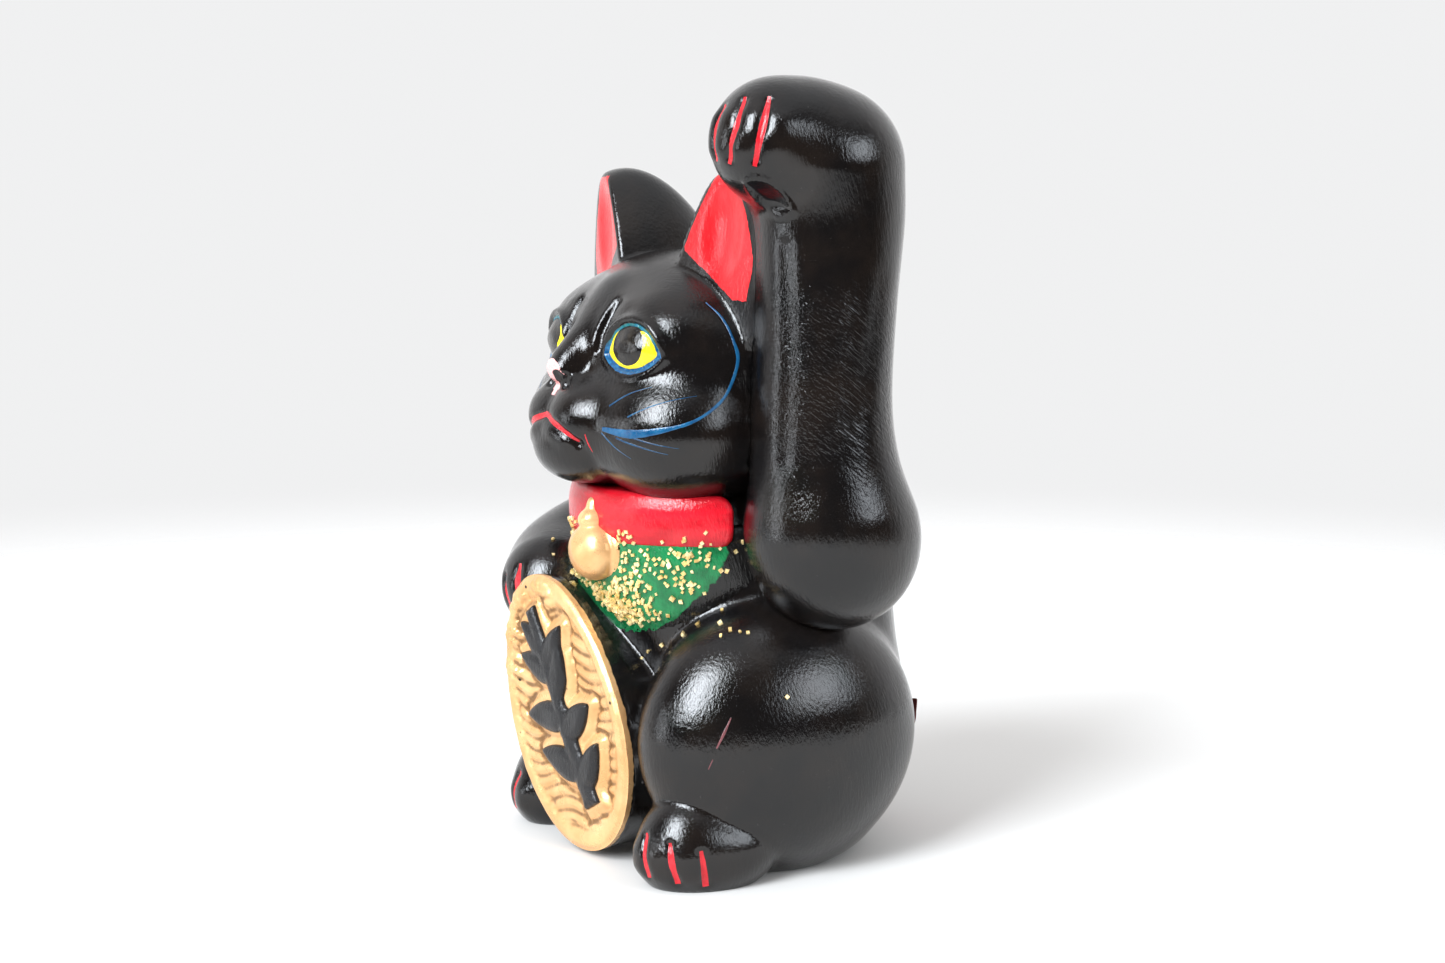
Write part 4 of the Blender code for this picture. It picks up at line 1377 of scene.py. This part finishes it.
def label_paper():
    t = Tree("label_paper")
    fibre = t.noise(1400, 4, 0.7)
    worn = t.ramp(t.noise(240, 4, 0.7), 0.5, 0.68)
    colour = t.mix(worn, (0.15, 0.018, 0.016), (0.30, 0.11, 0.085))
    colour = t.mix(t.times(fibre, 0.35), colour, (0.08, 0.012, 0.012))
    rough = t.ramp(fibre, 0.3, 0.7, 0.65, 0.9)
    return t.principled(Base_Color=colour, Roughness=rough, Normal=t.bump(fibre, 0.00012))


def rubber():
    t = Tree("stopper_rubber")
    mottled = t.noise(300, 4, 0.6)
    colour = t.mix(mottled, (0.018, 0.018, 0.019), (0.045, 0.044, 0.045))
    rough = t.rough(500, 3, 0.55, 0.8)
    return t.principled(Base_Color=colour, Roughness=rough, Normal=t.bump(t.noise(3000, 2), 0.00008))


def ear_mark(verts):
    """Negative where the inside of an ear is painted red."""
    e = ear_local(mirror(verts).astype(F))
    skull = ellipsoid(verts, *SKULL)
    rim = 1.7 + (e[:, 0] > 0) * (1.5 + 3.0 * smooth(e[:, 2], 16, 3))
    across = np.abs(e[:, 0]) - (ear_half_width(e[:, 2]) - rim)
    foot = np.maximum((7.4 - 0.585 * e[:, 0] - e[:, 2]) * 0.86, 3.6 - e[:, 2])
    ear = np.maximum(np.maximum(across, 1.3 - skull), np.maximum(e[:, 2] - 35.4, e[:, 1] - 5.5))
    return np.where(e[:, 1] < 8, np.maximum(ear, foot), 5)


def nose_mark(verts):
    """Negative on the pink of the nose: an arch over two nostrils, and a stem between them."""
    x, y, z = verts.T
    arch = np.hypot(x / 4.2, (z - 131.9) / 4.3) - 1
    hollow = np.hypot((np.abs(x) - 2.7) / 1.7, (z - 130.6) / 2.8) - 1
    stem = np.maximum(np.abs(x) - 0.95 - 0.1 * (z - 127), np.abs(z - 130) - 3.6)
    nose = np.minimum(np.maximum(arch * 3.6, -hollow * 1.6), stem)
    return np.where(y < -44, nose, 5)


def paint_head(obj, verts):
    across, up, out, almond = eye_coordinates(eye_side(verts).astype(F))
    x, z = PUPIL_CENTRE
    pupil = (np.hypot((across - x) / PUPIL_RADII[0], (up - z) / PUPIL_RADII[1]) - 1) * PUPIL_RADII[0]
    upper = smooth(up, -0.5, 2.5)
    # One mark here ends the yellow near the top of the eye, and the dark gap it leaves is painted shade under
    # the upper lid.
    mark(obj, ear=ear_mark(verts), almond=almond + smooth(np.abs(out), 9, 12) * 10, pupil=pupil,
         rim=1.45 - 0.75 * upper, lid=upper, gaze=4.3 - up, nose=nose_mark(verts))
    obj.data.materials.append(glaze("glaze_face", face=True))


def paint_arm(obj, verts):
    height = smooth(verts[:, 2], 98, 122) * smooth(verts[:, 2], 164, 150)
    mark(obj, fur=height * smooth(verts[:, 0], 50, 60))
    obj.data.materials.append(glaze("glaze_arm", fur=True))


def paint_sections():
    for name, (obj, verts) in PIECES.items():
        if name == "head":
            paint_head(obj, verts)
        elif name == "raised_arm":
            paint_arm(obj, verts)
        else:
            obj.data.materials.append(glaze("glaze_" + name))


# ---------------------------------------------------------------- floor, light and camera

CAMERA_AT = np.array((566.4, -327.0, 180.0))
AIM = np.array((0.0, 0.0, 100.0))
LENS = 59.02


def build_floor():
    """A pale sheet that fades into the equally pale backdrop."""
    mesh = bpy.data.meshes.new("floor")
    sides, radius = 96, 0.9
    verts = [(radius * cos(tau * i / sides), radius * sin(tau * i / sides), 0) for i in range(sides)]
    mesh.from_pydata(verts, [], [tuple(range(sides))])
    floor = bpy.data.objects.new("floor", mesh)
    bpy.context.scene.collection.objects.link(floor)
    t = Tree("floor")
    colour = t.mix(t.noise(1.5, 2), (0.655, 0.64, 0.62), (0.67, 0.655, 0.635))
    matt = {"Base Color": colour, "Roughness": 0.8, "Specular IOR Level": 0.1}
    paper = t.add("BsdfPrincipled", matt)
    away = t.add("VectorMath", {0: t.add("TexCoord").outputs["Object"]}, operation="LENGTH").outputs["Value"]
    clear = t.add("BsdfTransparent")
    faded = t.add("MixShader", {0: t.ramp(away, 0.28, 0.85)})
    t.tree.links.new(paper.outputs[0], faded.inputs[1])
    t.tree.links.new(clear.outputs[0], faded.inputs[2])
    out = t.add("OutputMaterial")
    t.tree.links.new(faded.outputs[0], out.inputs[0])
    mesh.materials.append(t.owner)


def window(t, direction, toward, half_width, half_height, soft):
    """The share of a window seen in that direction."""
    d = Vector(toward).normalized()
    right = d.cross(Vector((0, 0, 1))).normalized()
    up = right.cross(d).normalized()
    ahead, x, y = (t.dot(direction, tuple(axis)) for axis in (d, right, up))
    safe = t.math("MAXIMUM", ahead, 0.05)
    x, y = t.math("DIVIDE", x, safe), t.math("DIVIDE", y, safe)
    inside_x = t.ramp(t.math("ABSOLUTE", x), half_width + soft, half_width - soft)
    inside_y = t.ramp(t.math("ABSOLUTE", y), half_height + soft, half_height - soft)
    return t.times(t.times(inside_x, inside_y), t.math("GREATER_THAN", ahead, 0.06))


def build_world():
    t = Tree("studio", world=True)
    direction = t.add("TexCoord").outputs["Generated"]
    split = t.add("SeparateXYZ", {0: direction})
    behind = t.dot(direction, (-0.86, 0.50, 0.0))
    height = split.outputs["Z"]
    back = t.ramp(behind, -0.25, 0.45)
    room = t.mix(back, (0.065, 0.05, 0.038), (1.15, 1.15, 1.16))
    room = t.mix(t.ramp(height, 0.55, 0.95), room, (0.85, 0.86, 0.88))
    first = window(t, direction, (0.30, -0.75, 0.50), 0.21, 0.31, 0.035)
    second = window(t, direction, (0.80, 0.43, 0.35), 0.27, 0.20, 0.09)
    third = window(t, direction, (-0.28, -0.96, 0.0), 0.06, 0.24, 0.04)
    lit = t.mix(first, room, (15.0, 16.0, 17.0))
    room = t.mix(first, room, (23.0, 24.5, 26.0))
    room = t.mix(second, room, (5.2, 5.6, 6.0))
    room = t.mix(third, room, (8.0, 8.4, 8.8))
    path = t.add("LightPath")
    fill = t.mix(0.42, t.mix(0.72, lit, (0.0, 0.0, 0.0)), (2.2, 2.21, 2.25))
    room = t.mix(path.outputs["Is Diffuse Ray"], room, fill)
    seen = path.outputs["Is Camera Ray"]
    colour = t.mix(seen, room, (0.872, 0.875, 0.88))
    shade = t.add("Background", {"Color": colour, "Strength": 1.0})
    out = t.add("OutputWorld")
    t.tree.links.new(shade.outputs[0], out.inputs[0])
    bpy.context.scene.world = t.owner


def build_camera():
    data = bpy.data.cameras.new("camera")
    data.lens, data.sensor_width = LENS, 36
    camera = bpy.data.objects.new("camera", data)
    bpy.context.scene.collection.objects.link(camera)
    at, aim = (CAMERA_AT + SHIFT) * 0.001, (AIM + SHIFT) * 0.001
    camera.location = at
    camera.rotation_euler = Vector(aim - at).to_track_quat("-Z", "Y").to_euler()
    data.clip_start = 0.01
    bpy.context.scene.camera = camera
    bpy.context.scene.view_settings.view_transform = "Standard"


build_camera()
build_world()
build_floor()
build_sections()
paint_sections()
build_neckwear()
build_koban()
build_motif()
build_blue_strokes()
build_red_strokes()
build_scratch()
build_glitter()
build_label()
build_stopper()
